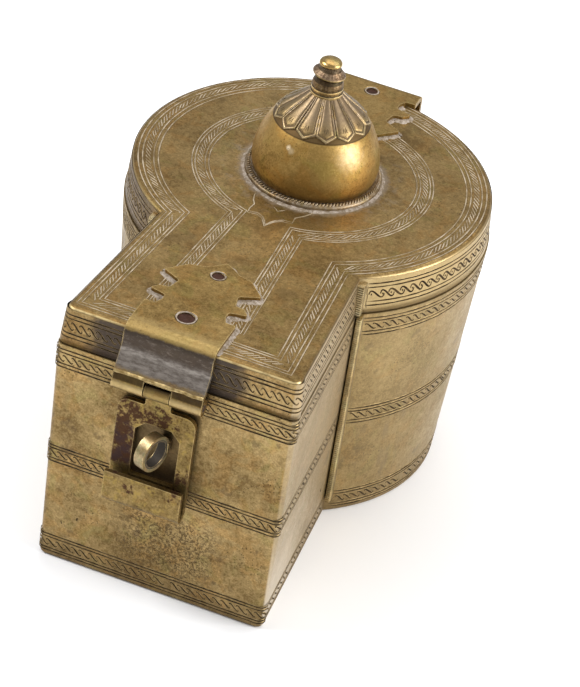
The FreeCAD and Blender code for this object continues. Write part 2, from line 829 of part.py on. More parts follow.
def leaf_rivet_bore(x):
    return cylinder_y(leaf_rivet_radius, 0, far, x, lid_top - leaf_rivet_drop)


def domed_head(x, y, z, sign):
    """Round head whose dome faces along Y, by the sign, from a face at y."""
    radius = leaf_rivet_radius + leaf_rivet_spread
    height = leaf_rivet_head + leaf_rivet_sink
    ball_radius = (radius ** 2 + height ** 2) / (2 * height)
    centre = point(x, y + sign * (leaf_rivet_head - ball_radius), z)
    latitude = math.degrees(math.asin(1 - height / ball_radius))
    return Part.makeSphere(ball_radius, centre, point(0, sign), latitude, 90, 360)


def leaf_rivets():
    """Two rivets through the leaf and the round wall, headed on both sides."""
    z = lid_top - leaf_rivet_drop
    grip = leaf_rivet_head / 3
    within = body_cone(wall_thickness, 0, rim_z)
    covered = body_cone(-leaf_thickness, 0, rim_z)
    # The seams of both cones are turned to the rear, between the two rivets
    within.rotate(point(0, 0), Z_AXIS, 90)
    covered.rotate(point(0, 0), Z_AXIS, 90)
    solids = []
    for x in leaf_rivet_xs():
        inner_y = math.sqrt(body_level(wall_thickness, z)[0] ** 2 - x ** 2)
        outer_y = math.sqrt(body_level(-leaf_thickness, z)[0] ** 2 - x ** 2)
        shank = cylinder_y(leaf_rivet_radius, inner_y - grip, outer_y + grip, x, z)
        inner_head = domed_head(x, inner_y, z, -1).common(within)
        outer_head = domed_head(x, outer_y, z, 1).cut(covered)
        solids.append(shank.fuse([inner_head, outer_head]).removeSplitter())
    return Part.makeCompound(solids)


def main():
    os.makedirs("parts", exist_ok=True)
    wall = round_wall()
    for x in leaf_rivet_xs():
        wall = wall.cut(leaf_rivet_bore(x))
    save("base_plate", base_plate())
    save("round_wall", wall)
    save("spout_wall", spout_wall())
    save("seat_collar", seat_collar())
    save("corner_strip_right", body_strip(1))
    save("corner_strip_left", body_strip(-1))
    save("hasp_staple", hasp_staple())
    save("rear_leaf", rear_leaf())
    save("rear_leaf_rivets", leaf_rivets())
    save("rear_hinge_pin", rear_hinge_pin())
    save("lid_plate", lid_plate())
    save("lid_round_skirt", lid_round_skirt())
    save("lid_spout_skirt", lid_spout_skirt())
    save("lid_corner_strip_right", lid_strip(1))
    save("lid_corner_strip_left", lid_strip(-1))
    save("dome", dome())
    save("dome_ring", dome_ring())
    save("petal_cap", petal_cap())
    save("finial", finial())
    save("front_strap", front_strap())
    save("front_strap_near_rivet", rivet(*front_rivets()[0]))
    save("front_strap_far_rivet", rivet(*front_rivets()[1]))
    save("rear_strap", rear_strap())
    save("rear_strap_edge_rivet", edge_rivet(*rear_rivets()[0]))
    save("rear_strap_inner_rivet", rivet(*rear_rivets()[1]))
    save("hasp_pin", hasp_pin())
    save("hasp_plate", hasp_plate())


main()
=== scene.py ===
import bisect
import math
import random

import bmesh
import bpy
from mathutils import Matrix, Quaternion, Vector, noise as random_field


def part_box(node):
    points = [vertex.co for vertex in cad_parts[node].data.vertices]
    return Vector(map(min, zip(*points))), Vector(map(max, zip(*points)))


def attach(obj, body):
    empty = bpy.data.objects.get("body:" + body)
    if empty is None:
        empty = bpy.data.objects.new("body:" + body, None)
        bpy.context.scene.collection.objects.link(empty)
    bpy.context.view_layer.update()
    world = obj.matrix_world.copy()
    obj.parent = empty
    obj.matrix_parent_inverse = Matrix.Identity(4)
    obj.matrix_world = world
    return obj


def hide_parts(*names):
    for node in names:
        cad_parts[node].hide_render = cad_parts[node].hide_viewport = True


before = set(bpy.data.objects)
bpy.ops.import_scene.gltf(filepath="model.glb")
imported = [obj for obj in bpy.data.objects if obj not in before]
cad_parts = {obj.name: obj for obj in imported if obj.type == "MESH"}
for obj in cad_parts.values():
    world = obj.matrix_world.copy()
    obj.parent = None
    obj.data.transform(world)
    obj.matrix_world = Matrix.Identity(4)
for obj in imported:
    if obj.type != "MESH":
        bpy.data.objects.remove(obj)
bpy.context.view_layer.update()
random.seed(11)

MM = 0.001


# Sizes read from the frame, in millimetres

def low(node):
    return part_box(node)[0] / MM


def high(node):
    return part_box(node)[1] / MM


LID_TOP = high("lid_plate").z
LID_RADIUS = high("lid_round_skirt").x
LID_FRONT = -low("lid_plate").y
SKIRT_LOW = low("lid_round_skirt").z
SKIRT_TOP = high("lid_round_skirt").z
RIM = high("round_wall").z
RIM_RADIUS = high("round_wall").x
RIM_FRONT = -low("spout_wall").y
FOOT_FRONT = -low("base_plate").y
ROUND_TAPER = RIM_RADIUS - high("base_plate").x
FRONT_TAPER = RIM_FRONT - FOOT_FRONT
FOOT = high("base_plate").z
STRAP_TOP = high("front_strap").z
STRAP_LEFT = low("front_strap").x
STRAP_RIGHT = high("front_strap").x
RING_RADIUS = high("dome_ring").x
RING_TOP = high("dome_ring").z

SPOUT_FLARE = 0.07           # sideways spread of the spout for each millimetre forward
SIDE_TAPER = 0.88            # lean of the spout's sides down to the foot
LID_CORNER = 2.2
BODY_CORNER = 1.9
FLARE_SCALE = math.hypot(1.0, SPOUT_FLARE)
LID_SIDE = high("lid_spout_skirt").x + 0.165 - SPOUT_FLARE * LID_FRONT
BODY_SIDE = LID_SIDE + (RIM_RADIUS - LID_RADIUS) * FLARE_SCALE


# Meshes

class Shape:
    """Collects the corners and faces of one mesh, in millimetres."""

    def __init__(self):
        self.points = []
        self.faces = []
        self.slots = []

    def add(self, points):
        first = len(self.points)
        self.points += [Vector(p) for p in points]
        return first

    def face(self, corners, slot=0):
        self.faces.append(tuple(corners))
        self.slots.append(slot)

    def grid(self, rows, closed=False, slot=0):
        """Faces between rows of points that all have the same length."""
        width = len(rows[0])
        first = self.add([p for row in rows for p in row])
        for i in range(len(rows) - 1):
            for j in range(width if closed else width - 1):
                k = (j + 1) % width
                a = first + i * width
                b = a + width
                used = slot[j] if isinstance(slot, (list, tuple)) else slot
                self.face((a + j, a + k, b + k, b + j), used)
        return first

    def build(self, name, body, materials, smooth=True):
        mesh = bpy.data.meshes.new(name)
        mesh.from_pydata([p * MM for p in self.points], [], self.faces)
        for material in materials:
            mesh.materials.append(material)
        mesh.polygons.foreach_set("material_index", self.slots)
        mesh.polygons.foreach_set("use_smooth", [smooth] * len(self.faces))
        mesh.update()
        piece = bpy.data.objects.new(name, mesh)
        bpy.context.scene.collection.objects.link(piece)
        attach(piece, body)
        return piece


def outward(piece):
    """Turns a closed mesh's faces outwards."""
    edit = bmesh.new()
    edit.from_mesh(piece.data)
    bmesh.ops.recalc_face_normals(edit, faces=edit.faces)
    edit.to_mesh(piece.data)
    edit.free()


def weld(piece):
    """Joins a mesh's doubled corners and turns its faces outwards."""
    edit = bmesh.new()
    edit.from_mesh(piece.data)
    bmesh.ops.remove_doubles(edit, verts=edit.verts, dist=1e-7)
    bmesh.ops.recalc_face_normals(edit, faces=edit.faces)
    edit.to_mesh(piece.data)
    edit.free()


def smooth(x, start, end):
    t = min(max((x - start) / (end - start), 0.0), 1.0)
    return t * t * (3 - 2 * t)


def wobble(position, size, amount, salt=0.0):
    """A slow random offset, the same at the same place."""
    return amount * random_field.noise(Vector((position / size, salt, 7.3)))


# Paths over the sheets

class Path:
    """A line through plan points, followed by its length."""

    def __init__(self, points, closed=False):
        self.points = [Vector(p) for p in points]
        if closed:
            self.points.append(self.points[0].copy())
        self.lengths = [0.0]
        for a, b in zip(self.points, self.points[1:]):
            self.lengths.append(self.lengths[-1] + (b - a).length)
        self.total = self.lengths[-1]

    def find(self, s):
        """Index of the point after a length along the path, and the share of the way to it."""
        s = min(max(s, 0.0), self.total - 1e-6)
        i = min(bisect.bisect_right(self.lengths, s), len(self.points) - 1)
        return i, (s - self.lengths[i - 1]) / max(self.lengths[i] - self.lengths[i - 1], 1e-9)

    def at(self, s):
        """Point, forward direction and left-hand normal at a length along the path."""
        i, share = self.find(s)
        run = self.points[i] - self.points[i - 1]
        ahead = run.normalized()
        return self.points[i - 1] + run * share, ahead, Vector((-ahead.y, ahead.x))

    def corners(self, least_turn):
        """Lengths at which the path turns sharply."""
        found = []
        for i in range(1, len(self.points) - 1):
            before = (self.points[i] - self.points[i - 1]).normalized()
            after = (self.points[i + 1] - self.points[i]).normalized()
            if before.dot(after) < math.cos(math.radians(least_turn)):
                found.append(self.lengths[i])
        return found


def meet(radius, side, flare):
    """Where the line x = side - flare * y crosses a circle in front of its centre."""
    a = 1 + flare * flare
    b = side * flare
    y = (b - math.sqrt(b * b - a * (side * side - radius * radius))) / a
    return Vector((side - flare * y, y))


def arc(radius, start, end, count):
    """Points on a circle about the round centre, by angle from +X in degrees."""
    turns = [math.radians(start + (end - start) * i / count) for i in range(count + 1)]
    return [Vector((radius * math.cos(t), radius * math.sin(t))) for t in turns]


def turn_of(p):
    return math.degrees(math.atan2(p.y, p.x)) % 360


def ramp(a, b, count):
    """Points from one to the other, both included."""
    return [a.lerp(b, i / count) for i in range(count + 1)]


def lid_outline(round_inset, right_inset, left_inset, front_inset):
    """Keyhole inside the lid's outline, clockwise from above, starting at the right inner corner."""
    radius = LID_RADIUS - round_inset
    right = LID_SIDE - right_inset * FLARE_SCALE
    left = LID_SIDE - left_inset * FLARE_SCALE
    front = LID_FRONT - front_inset
    right_top = meet(radius, right, SPOUT_FLARE)
    left_top = meet(radius, left, SPOUT_FLARE)
    left_top.x *= -1
    right_low = Vector((right + SPOUT_FLARE * front, -front))
    left_low = Vector((-left - SPOUT_FLARE * front, -front))
    points = ramp(right_top, right_low, 30)[:-1]
    points += ramp(right_low, left_low, 30)[:-1]
    points += ramp(left_low, left_top, 30)[:-1]
    points += arc(radius, turn_of(left_top), turn_of(right_top) - 360, 200)[:-1]
    return Path(points, closed=True)


def spout_line(radius, side, front, corner):
    """The spout's outer line from the right inner corner round the front to the left one."""
    half = side + SPOUT_FLARE * front
    slope = math.atan(SPOUT_FLARE)
    reach = corner * math.tan((math.pi / 2 - slope) / 2)
    down = Vector((math.sin(slope), -math.cos(slope)))
    right_low = Vector((half, -front))
    centre = right_low + Vector((-reach, corner))
    steps = 8
    bend = []
    for i in range(steps + 1):
        t = slope + (-math.pi / 2 - slope) * i / steps
        bend.append(centre + Vector((corner * math.cos(t), corner * math.sin(t))))
    right = ramp(meet(radius, side, SPOUT_FLARE), right_low - down * reach, 30)[:-1] + bend
    left = [Vector((-p.x, p.y)) for p in right[::-1]]
    return right + ramp(right[-1], left[0], 36)[1:-1] + left


def round_line(radius, side):
    """The round part's outer line from the left inner corner round the back to the right one."""
    right = turn_of(meet(radius, side, SPOUT_FLARE))
    return arc(radius, 180 + 360 - right, right - 360, 280)


class Wall:
    """An upright sheet between an upper and a lower outline with as many points each."""

    def __init__(self, top, foot, top_level, foot_level):
        self.path = Path(top)
        self.foot = foot
        self.levels = (foot_level, top_level)

    def at(self, s, z, height):
        """The point at a length along the top and a level, this far outside the sheet, and the way out."""
        i, share = self.path.find(s)
        low_level, top_level = self.levels
        rise = (z - low_level) / (top_level - low_level)
        top = self.path.points[i - 1].lerp(self.path.points[i], share)
        foot = self.foot[i - 1].lerp(self.foot[i], share)
        before = self.foot[i - 1].lerp(self.path.points[i - 1], rise)
        after = self.foot[i].lerp(self.path.points[i], rise)
        here = foot.lerp(top, rise)
        up = Vector((top.x - foot.x, top.y - foot.y, top_level - low_level))
        out = up.cross(Vector((after.x - before.x, after.y - before.y, 0.0))).normalized()
        return Vector((here.x, here.y, z)) + out * height, out


# Node trees

class Graph:
    """Short calls for the nodes of one tree."""

    def __init__(self, tree):
        self.tree = tree

    def node(self, kind, **settings):
        made = self.tree.nodes.new(kind)
        for key, value in settings.items():
            setattr(made, key, value)
        return made

    def put(self, socket, value):
        if isinstance(value, bpy.types.NodeSocket):
            self.tree.links.new(value, socket)
        else:
            socket.default_value = value

    def call(self, kind, values, **settings):
        """Adds a node with these values on its sockets and gives its first output."""
        made = self.node(kind, **settings)
        for key, value in values.items():
            self.put(made.inputs[key], value)
        return made.outputs[0]

    def math(self, operation, *values, clamp=False):
        made = self.node("ShaderNodeMath", operation=operation, use_clamp=clamp)
        for socket, value in zip(made.inputs, values):
            self.put(socket, value)
        return made.outputs[0]

    def add(self, *values):
        total = values[0]
        for value in values[1:]:
            total = self.math("ADD", total, value)
        return total

    def times(self, *values):
        total = values[0]
        for value in values[1:]:
            total = self.math("MULTIPLY", total, value)
        return total

    def vector(self, operation, *values):
        made = self.node("ShaderNodeVectorMath", operation=operation)
        for socket, value in zip(made.inputs, values):
            self.put(socket, value)
        single = operation in ("DISTANCE", "DOT_PRODUCT", "LENGTH")
        return made.outputs["Value" if single else "Vector"]

    def scale(self, vector, factor):
        return self.call("ShaderNodeVectorMath", {0: vector, "Scale": factor}, operation="SCALE")

    def xyz(self, x=0.0, y=0.0, z=0.0):
        return self.call("ShaderNodeCombineXYZ", {0: x, 1: y, 2: z})

    def band(self, value, start, end, first=0.0, last=1.0):
        """Goes smoothly from first to last as the value goes from start to end."""
        return self.call("ShaderNodeMapRange", {"Value": value, "From Min": start, "From Max": end,
                                                "To Min": first, "To Max": last}, interpolation_type="SMOOTHSTEP")

    def window(self, value, low_edge, high_edge, soft):
        """One between two edges, nought outside them."""
        rise = self.band(value, low_edge - soft, low_edge + soft)
        fall = self.band(value, high_edge - soft, high_edge + soft, 1.0, 0.0)
        return self.times(rise, fall)


SOCKETS = {float: "NodeSocketFloat", int: "NodeSocketInt", type(None): "NodeSocketMaterial"}
# Marks that guide lines carry into a recipe, and those that a recipe leaves on its result
HELPERS = ("out", "width", "rope", "clear", "guide", "top", "surface", "rim")


class Recipe(Graph):
    """A Geometry Nodes tree in millimetres, with named inputs for its sizes."""

    def __init__(self, name, inputs):
        super().__init__(bpy.data.node_groups.new(name, "GeometryNodeTree"))
        sockets = self.tree.interface
        sockets.new_socket("Geometry", in_out="INPUT", socket_type="NodeSocketGeometry")
        sockets.new_socket("Geometry", in_out="OUTPUT", socket_type="NodeSocketGeometry")
        for key, value in inputs.items():
            made = sockets.new_socket(key, in_out="INPUT", socket_type=SOCKETS[type(value)])
            if value is not None:
                made.default_value = value
        self.given = self.node("NodeGroupInput").outputs
        self.index = self.node("GeometryNodeInputIndex").outputs[0]
        self.place = self.node("GeometryNodeInputPosition").outputs[0]
        spline = self.node("GeometryNodeSplineParameter")
        self.share, self.along = spline.outputs["Factor"], spline.outputs["Length"]
        self.total = self.node("GeometryNodeSplineLength").outputs["Length"]

    def named(self, key, kind="FLOAT"):
        made = self.node("GeometryNodeInputNamedAttribute", data_type=kind)
        made.inputs["Name"].default_value = key
        return made.outputs["Attribute"]

    def keep(self, geometry, key, value):
        return self.call("GeometryNodeStoreNamedAttribute", {"Geometry": geometry, "Name": key, "Value": value})

    def move(self, geometry, place):
        return self.call("GeometryNodeSetPosition", {"Geometry": geometry, "Position": place})

    def random(self, least, most, seed):
        made = self.node("FunctionNodeRandomValue")
        for socket in made.inputs:
            if socket.enabled and socket.name in ("Min", "Max"):
                socket.default_value = least if socket.name == "Min" else most
        self.put(made.inputs["Seed"], seed)
        return next(socket for socket in made.outputs if socket.enabled)

    def waver(self, position, size, salt):
        """Random values between -1 and 1 that change over this length."""
        seeded = self.math("ADD", self.given["Seed"], salt)
        place = self.xyz(self.times(position, 1 / size), self.times(self.named("guide"), 3.7), seeded)
        value = self.call("ShaderNodeTexNoise", {"Vector": place, "Scale": 1.0, "Detail": 1.0})
        return self.math("MULTIPLY_ADD", value, 2.6, -1.3)

    def line(self, count):
        """A line of this many points, to be bent with move."""
        made = self.call("GeometryNodeCurvePrimitiveLine", {})
        return self.call("GeometryNodeResampleCurve", {"Curve": made, "Count": count})

    def profile(self, points):
        """An open profile through points given to the right of the way and up."""
        switch = self.node("GeometryNodeIndexSwitch", data_type="VECTOR")
        while len(switch.index_switch_items) < len(points):
            switch.index_switch_items.new()
        self.put(switch.inputs["Index"], self.index)
        for socket, (right, up) in zip(list(switch.inputs)[1:], points):
            socket.default_value = (right, -up, 0.0)
        return self.move(self.line(len(points)), switch.outputs[0])

    def sweep(self, curve, profile, size):
        upright = self.call("GeometryNodeSetCurveNormal", {"Curve": curve}, mode="Z_UP")
        return self.call("GeometryNodeCurveToMesh", {"Curve": upright, "Profile Curve": profile, "Scale": size})

    def serve(self, geometry, *paints):
        """Ends the recipe: real geometry in metres with its materials, each on a selection."""
        real = self.call("GeometryNodeRealizeInstances", {"Geometry": geometry})
        real = self.call("GeometryNodeTransform", {"Geometry": real, "Scale": (MM, MM, MM)})
        real = self.call("GeometryNodeSetShadeSmooth", {"Geometry": real})
        for key, selection in paints:
            real = self.call("GeometryNodeSetMaterial", {"Geometry": real, "Material": self.given[key],
                                                         "Selection": selection})
        self.tree.links.new(real, self.node("NodeGroupOutput").inputs[0])
        return self


def grow(recipe, mesh, name, body, slot, **values):
    """Runs a recipe on a mesh and keeps the result as a plain mesh."""
    piece = bpy.data.objects.new(name, mesh)
    bpy.context.scene.collection.objects.link(piece)
    modifier = piece.modifiers.new("recipe", "NODES")
    modifier.node_group = recipe.tree
    for item in recipe.tree.interface.items_tree:
        key = item.name.replace(" ", "_").lower()
        if item.in_out == "INPUT" and key in values:
            modifier[item.identifier] = values[key]
    graph = bpy.context.evaluated_depsgraph_get()
    grown = bpy.data.meshes.new_from_object(piece.evaluated_get(graph))
    piece.modifiers.remove(modifier)
    for key in HELPERS:
        if key in grown.attributes:
            grown.attributes.remove(grown.attributes[key])
    grown.name = name
    piece.data = grown
    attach(piece, body)
    return piece


class Guides:
    """Lines for a recipe to follow, each point with the way out of the sheet."""

    def __init__(self):
        self.points = []
        self.edges = []
        self.marks = {"out": [], "width": [], "rope": [], "clear": [], "guide": [], "top": []}
        self.count = 0

    def add(self, places, width=1.0, rope=False, blocked=lambda p: False, tops=None):
        first = len(self.points)
        for i, (p, out) in enumerate(places):
            self.points.append(p)
            self.marks["out"].append(out)
            self.marks["width"].append(width)
            self.marks["rope"].append(float(rope))
            self.marks["clear"].append(0.0 if blocked(p) else 1.0)
            self.marks["guide"].append(float(self.count))
            self.marks["top"].append(tops[i] if tops else out)
        self.edges += [(i, i + 1) for i in range(first, len(self.points) - 1)]
        self.count += 1

    def mesh(self, name):
        made = bpy.data.meshes.new(name)
        made.from_pydata(self.points, self.edges, [])
        for key, values in self.marks.items():
            vectors = key in ("out", "top")
            mark = made.attributes.new(key, "FLOAT_VECTOR" if vectors else "FLOAT", "POINT")
            if vectors:
                mark.data.foreach_set("vector", [c for v in values for c in v])
            else:
                mark.data.foreach_set("value", values)
        return made


# Engraving: cut lines with raised edges, laid over the sheets

CUT_SPREAD = 1.7             # half width over the raised edges, in half widths of the floor
CUT_PROFILE = ((-CUT_SPREAD, -0.22), (-1.0, 0.33), (0.0, 0.16), (1.0, 0.33), (CUT_SPREAD, -0.22))


def engraving_recipe():
    """Lines and ropes of S strokes, drawn flat and then laid along their guides."""
    recipe = Recipe("engraving", {"Line Width": 0.36, "Stroke Width": 0.36, "Pitch": 2.2, "Half Height": 1.0,
                                  "Reach": 0.6, "Hook": 0.8, "Eye": 0.0, "Side": 1.0, "Seed": 0,
                                  "Floor": None, "Edges": None})
    given = recipe.given
    guides = recipe.call("GeometryNodeMeshToCurve", {"Mesh": given["Geometry"]})
    parts = recipe.node("GeometryNodeSeparateGeometry", domain="CURVE")
    recipe.put(parts.inputs["Geometry"], guides)
    recipe.put(parts.inputs["Selection"], recipe.named("rope"))
    ropes, lines = parts.outputs
    outer = recipe.math("COMPARE", recipe.math("ABSOLUTE", recipe.add(recipe.index, -2.0)), 2.0, 0.5)
    profile = recipe.keep(recipe.profile(CUT_PROFILE), "rim", outer)
    # Lines wander a little, swell and thin out at their ends
    along, total = recipe.along, recipe.total
    left = recipe.math("SUBTRACT", total, along)
    drift = recipe.times(recipe.waver(along, 9.0, 1.0), 0.07)
    flat = recipe.move(lines, recipe.xyz(along, drift))
    swell = recipe.math("MAXIMUM", recipe.math("MULTIPLY_ADD", recipe.waver(along, 5.0, 5.0), 0.55, 1.0), 0.45)
    ends = recipe.math("MINIMUM", recipe.math("MULTIPLY_ADD", recipe.math("MINIMUM", along, left), 0.3, 0.3), 1.0)
    size = recipe.times(given["Line Width"], recipe.named("width"), swell, ends, 0.5)
    cut = recipe.sweep(flat, profile, size)
    # One stroke, and a dot beside it where the rope has them
    t = recipe.math("MULTIPLY_ADD", recipe.share, 2.0, -1.0)
    reach = recipe.times(given["Pitch"], given["Reach"], -1.0)
    bend = recipe.math("SINE", recipe.times(t, given["Hook"], math.pi))
    stroke = recipe.move(recipe.line(15), recipe.xyz(
        recipe.times(recipe.math("SINE", recipe.times(t, math.pi / 2)), reach), recipe.times(bend, given["Half Height"], -1.0)))
    taper = recipe.math("SINE", recipe.math("MULTIPLY_ADD", recipe.share, 0.8 * math.pi, 0.1 * math.pi))
    taper = recipe.times(recipe.math("MULTIPLY_ADD", taper, 0.35, 0.2), given["Stroke Width"])
    stroke = recipe.sweep(stroke, profile, taper)
    dot = recipe.move(recipe.line(5), recipe.xyz(recipe.math("MULTIPLY_ADD", given["Pitch"], 0.5, recipe.times(t, 0.2))))
    round_end = recipe.math("SQRT", recipe.math("SUBTRACT", 1.15, recipe.times(t, t)))
    dot = recipe.sweep(dot, profile, recipe.times(given["Eye"], round_end, 0.5))
    dot = recipe.call("GeometryNodeSwitch", {"Switch": given["Eye"], "True": dot}, input_type="GEOMETRY")
    kinds = recipe.node("GeometryNodeJoinGeometry")
    recipe.put(kinds.inputs[0], stroke)
    recipe.put(kinds.inputs[0], dot)
    # Strokes along the ropes, clear of corners and ends
    spaced = recipe.call("GeometryNodeResampleCurve", {"Curve": ropes, "Length": given["Pitch"]}, mode="LENGTH")
    margin = recipe.times(given["Pitch"], 0.75)
    inside = recipe.times(recipe.math("GREATER_THAN", recipe.named("clear"), 0.5),
                          recipe.math("GREATER_THAN", along, margin), recipe.math("GREATER_THAN", left, margin))
    spaced = recipe.keep(spaced, "clear", inside)
    shifted = recipe.math("ADD", along, recipe.times(recipe.random(-0.06, 0.06, given["Seed"]), given["Pitch"]))
    spots = recipe.move(spaced, recipe.xyz(shifted))
    stretch = recipe.xyz(recipe.random(0.88, 1.12, given["Seed"]), recipe.random(0.86, 1.08, recipe.math("ADD", given["Seed"], 1.0)), 1.0)
    strokes = recipe.call("GeometryNodeInstanceOnPoints", {"Points": spots, "Selection": recipe.named("clear"),
                                                           "Instance": kinds.outputs[0], "Scale": stretch})
    strokes = recipe.call("GeometryNodeRealizeInstances", {"Geometry": strokes})
    # From the flat drawing to the sheet
    both = recipe.node("GeometryNodeJoinGeometry")
    recipe.put(both.inputs[0], cut)
    recipe.put(both.inputs[0], strokes)
    split = recipe.node("ShaderNodeSeparateXYZ")
    recipe.put(split.inputs[0], recipe.place)
    x, y, z = split.outputs
    sample = recipe.node("GeometryNodeSampleCurve", data_type="FLOAT_VECTOR", mode="LENGTH")
    recipe.put(sample.inputs["Curves"], guides)
    recipe.put(sample.inputs["Value"], recipe.named("out", "FLOAT_VECTOR"))
    recipe.put(sample.inputs["Length"], x)
    recipe.put(sample.inputs["Curve Index"], recipe.named("guide"))
    out = recipe.vector("NORMALIZE", sample.outputs["Value"])
    across = recipe.vector("NORMALIZE", recipe.vector("CROSS_PRODUCT", out, sample.outputs["Tangent"]))
    sideways = recipe.scale(recipe.scale(across, given["Side"]), y)
    laid = recipe.vector("ADD", recipe.vector("ADD", sample.outputs["Position"], sideways), recipe.scale(out, z))
    laid = recipe.move(both.outputs[0], laid)
    laid = recipe.call("GeometryNodeFlipFaces", {"Mesh": laid, "Selection": recipe.math("LESS_THAN", given["Side"], 0.0)})
    return recipe.serve(laid, ("Floor", True), ("Edges", recipe.math("GREATER_THAN", recipe.named("rim"), 0.3)))


def bead_recipe(name, profile):
    """An uneven bead of this profile along its guides, the sizes of the profile being inputs."""
    recipe = Recipe(name, {"Reach": 0.8, "Rise": 0.5, "Unevenness": 1.0, "Seed": 0, "Skin": None})
    given = recipe.given
    guides = recipe.call("GeometryNodeMeshToCurve", {"Mesh": given["Geometry"]})
    section = recipe.call("GeometryNodeTransform", {"Geometry": recipe.profile(profile),
                                                    "Scale": recipe.xyz(given["Reach"], given["Rise"], 1.0)})
    rough = recipe.add(recipe.waver(recipe.along, 1.6, 3.0), recipe.times(recipe.waver(recipe.along, 5.0, 7.0), 0.8))
    size = recipe.math("MULTIPLY_ADD", recipe.times(rough, given["Unevenness"]), 0.5, 1.0)
    size = recipe.times(recipe.math("MAXIMUM", size, 0.3), recipe.named("width"))
    return recipe.serve(recipe.sweep(guides, section, size), ("Skin", True))


def rib_recipe():
    """Small half-round ribs: the guide is repeated from its own place up to its top marks."""
    recipe = Recipe("corner_ribs", {"Count": 90, "Depth": 0.16, "Half Height": 0.3, "Skin": None})
    given = recipe.given
    guide = recipe.call("GeometryNodeMeshToCurve", {"Mesh": given["Geometry"]})
    many = recipe.node("GeometryNodeDuplicateElements", domain="SPLINE")
    recipe.put(many.inputs["Geometry"], guide)
    recipe.put(many.inputs["Amount"], given["Count"])
    share = recipe.math("DIVIDE", recipe.add(many.outputs["Duplicate Index"], 0.5), given["Count"])
    rise = recipe.scale(recipe.vector("SUBTRACT", recipe.named("top", "FLOAT_VECTOR"), recipe.place), share)
    ribs = recipe.move(many.outputs["Geometry"], recipe.vector("ADD", recipe.place, rise))
    half_round = [(math.sin(math.pi * i / 6), -math.cos(math.pi * i / 6)) for i in range(7)]
    section = recipe.call("GeometryNodeTransform", {"Geometry": recipe.profile(half_round),
                                                    "Scale": recipe.xyz(given["Depth"], given["Half Height"], 1.0)})
    return recipe.serve(recipe.sweep(ribs, section, 1.0), ("Skin", True))


def wire_recipe():
    """Twisted wire round the dome: short leaning strands on a circle."""
    recipe = Recipe("twisted_wire", {"Strands": 118, "Radius": 16.4, "Level": 75.3, "Half Length": 0.7,
                                     "Half Width": 0.29, "Lean": 0.9, "Skin": None})
    given = recipe.given
    circle = recipe.call("GeometryNodeMeshCircle", {"Vertices": given["Strands"], "Radius": given["Radius"]})
    radial = recipe.vector("NORMALIZE", recipe.place)
    ahead = recipe.vector("CROSS_PRODUCT", (0.0, 0.0, 1.0), radial)
    slope = recipe.vector("NORMALIZE", recipe.vector("SUBTRACT", (0.0, 0.0, 1.0), radial))
    lean = recipe.vector("ADD", recipe.scale(ahead, recipe.math("COSINE", given["Lean"])),
                         recipe.scale(slope, recipe.math("SINE", given["Lean"])))
    turned = recipe.call("FunctionNodeAlignRotationToVector", {"Vector": lean}, axis="Z")
    t = recipe.math("MULTIPLY_ADD", recipe.share, 2.0, -1.0)
    spine = recipe.move(recipe.line(7), recipe.xyz(0.0, 0.0, recipe.times(t, given["Half Length"])))
    thick = recipe.times(recipe.math("SQRT", recipe.math("SUBTRACT", 1.06, recipe.times(t, t))), given["Half Width"])
    circle_section = recipe.call("GeometryNodeCurvePrimitiveCircle", {"Resolution": 8, "Radius": 1.0})
    strand = recipe.call("GeometryNodeCurveToMesh", {"Curve": spine, "Profile Curve": circle_section,
                                                     "Scale": thick, "Fill Caps": True})
    strands = recipe.call("GeometryNodeInstanceOnPoints", {"Points": circle, "Instance": strand, "Rotation": turned})
    lifted = recipe.call("GeometryNodeTransform", {"Geometry": strands, "Translation": recipe.xyz(0.0, 0.0, given["Level"])})
    return recipe.serve(lifted, ("Skin", True))


def petal_recipe():
    """One petal repeated round the dome."""
    recipe = Recipe("petal_ring", {"Petals": 13, "First": 0.0, "Spread": 0.012, "Seed": 3,
                                   "Panel": None, "Groove": None, "Ridge": None})
    given = recipe.given
    centre = recipe.call("GeometryNodePoints", {"Count": given["Petals"]})
    step = recipe.math("DIVIDE", 2 * math.pi, given["Petals"])
    turn = recipe.add(given["First"], recipe.times(recipe.index, step),
                      recipe.times(recipe.random(-1.0, 1.0, given["Seed"]), given["Spread"]))
    ring = recipe.call("GeometryNodeInstanceOnPoints", {"Points": centre, "Instance": given["Geometry"],
                                                        "Rotation": recipe.xyz(0.0, 0.0, turn)})
    surface = recipe.named("surface")
    paints = [(key, recipe.math("COMPARE", surface, float(k), 0.4)) for k, key in enumerate(("Panel", "Groove", "Ridge"))]
    return recipe.serve(ring, *paints)


# Materials

class Fields(Graph):
    """Noise and masks over places in millimetres in the row frame."""

    def spread(self, place):
        self.place = place
        split = self.node("ShaderNodeSeparateXYZ")
        self.put(split.inputs[0], place)
        self.x, self.y, self.z = split.outputs

    def noise(self, size, detail=4.0, rough=0.55, warp=0.0, stretch=(1, 1, 1), shift=0.0):
        """Noise between 0 and 1 whose features are about this size in millimetres."""
        scaled = self.vector("MULTIPLY", self.place, [1 / (size * k) for k in stretch])
        moved = self.vector("ADD", scaled, self.scale((1.0, 1.7, 0.6), shift))
        return self.call("ShaderNodeTexNoise", {"Vector": moved, "Scale": 1.0, "Detail": detail, "Roughness": rough,
                                                "Distortion": warp})

    def mix(self, share, first, second, blend="MIX"):
        made = self.node("ShaderNodeMix", data_type="RGBA", blend_type=blend)
        self.put(made.inputs[0], share)
        self.put(made.inputs[6], first)
        self.put(made.inputs[7], second)
        return made.outputs[2]


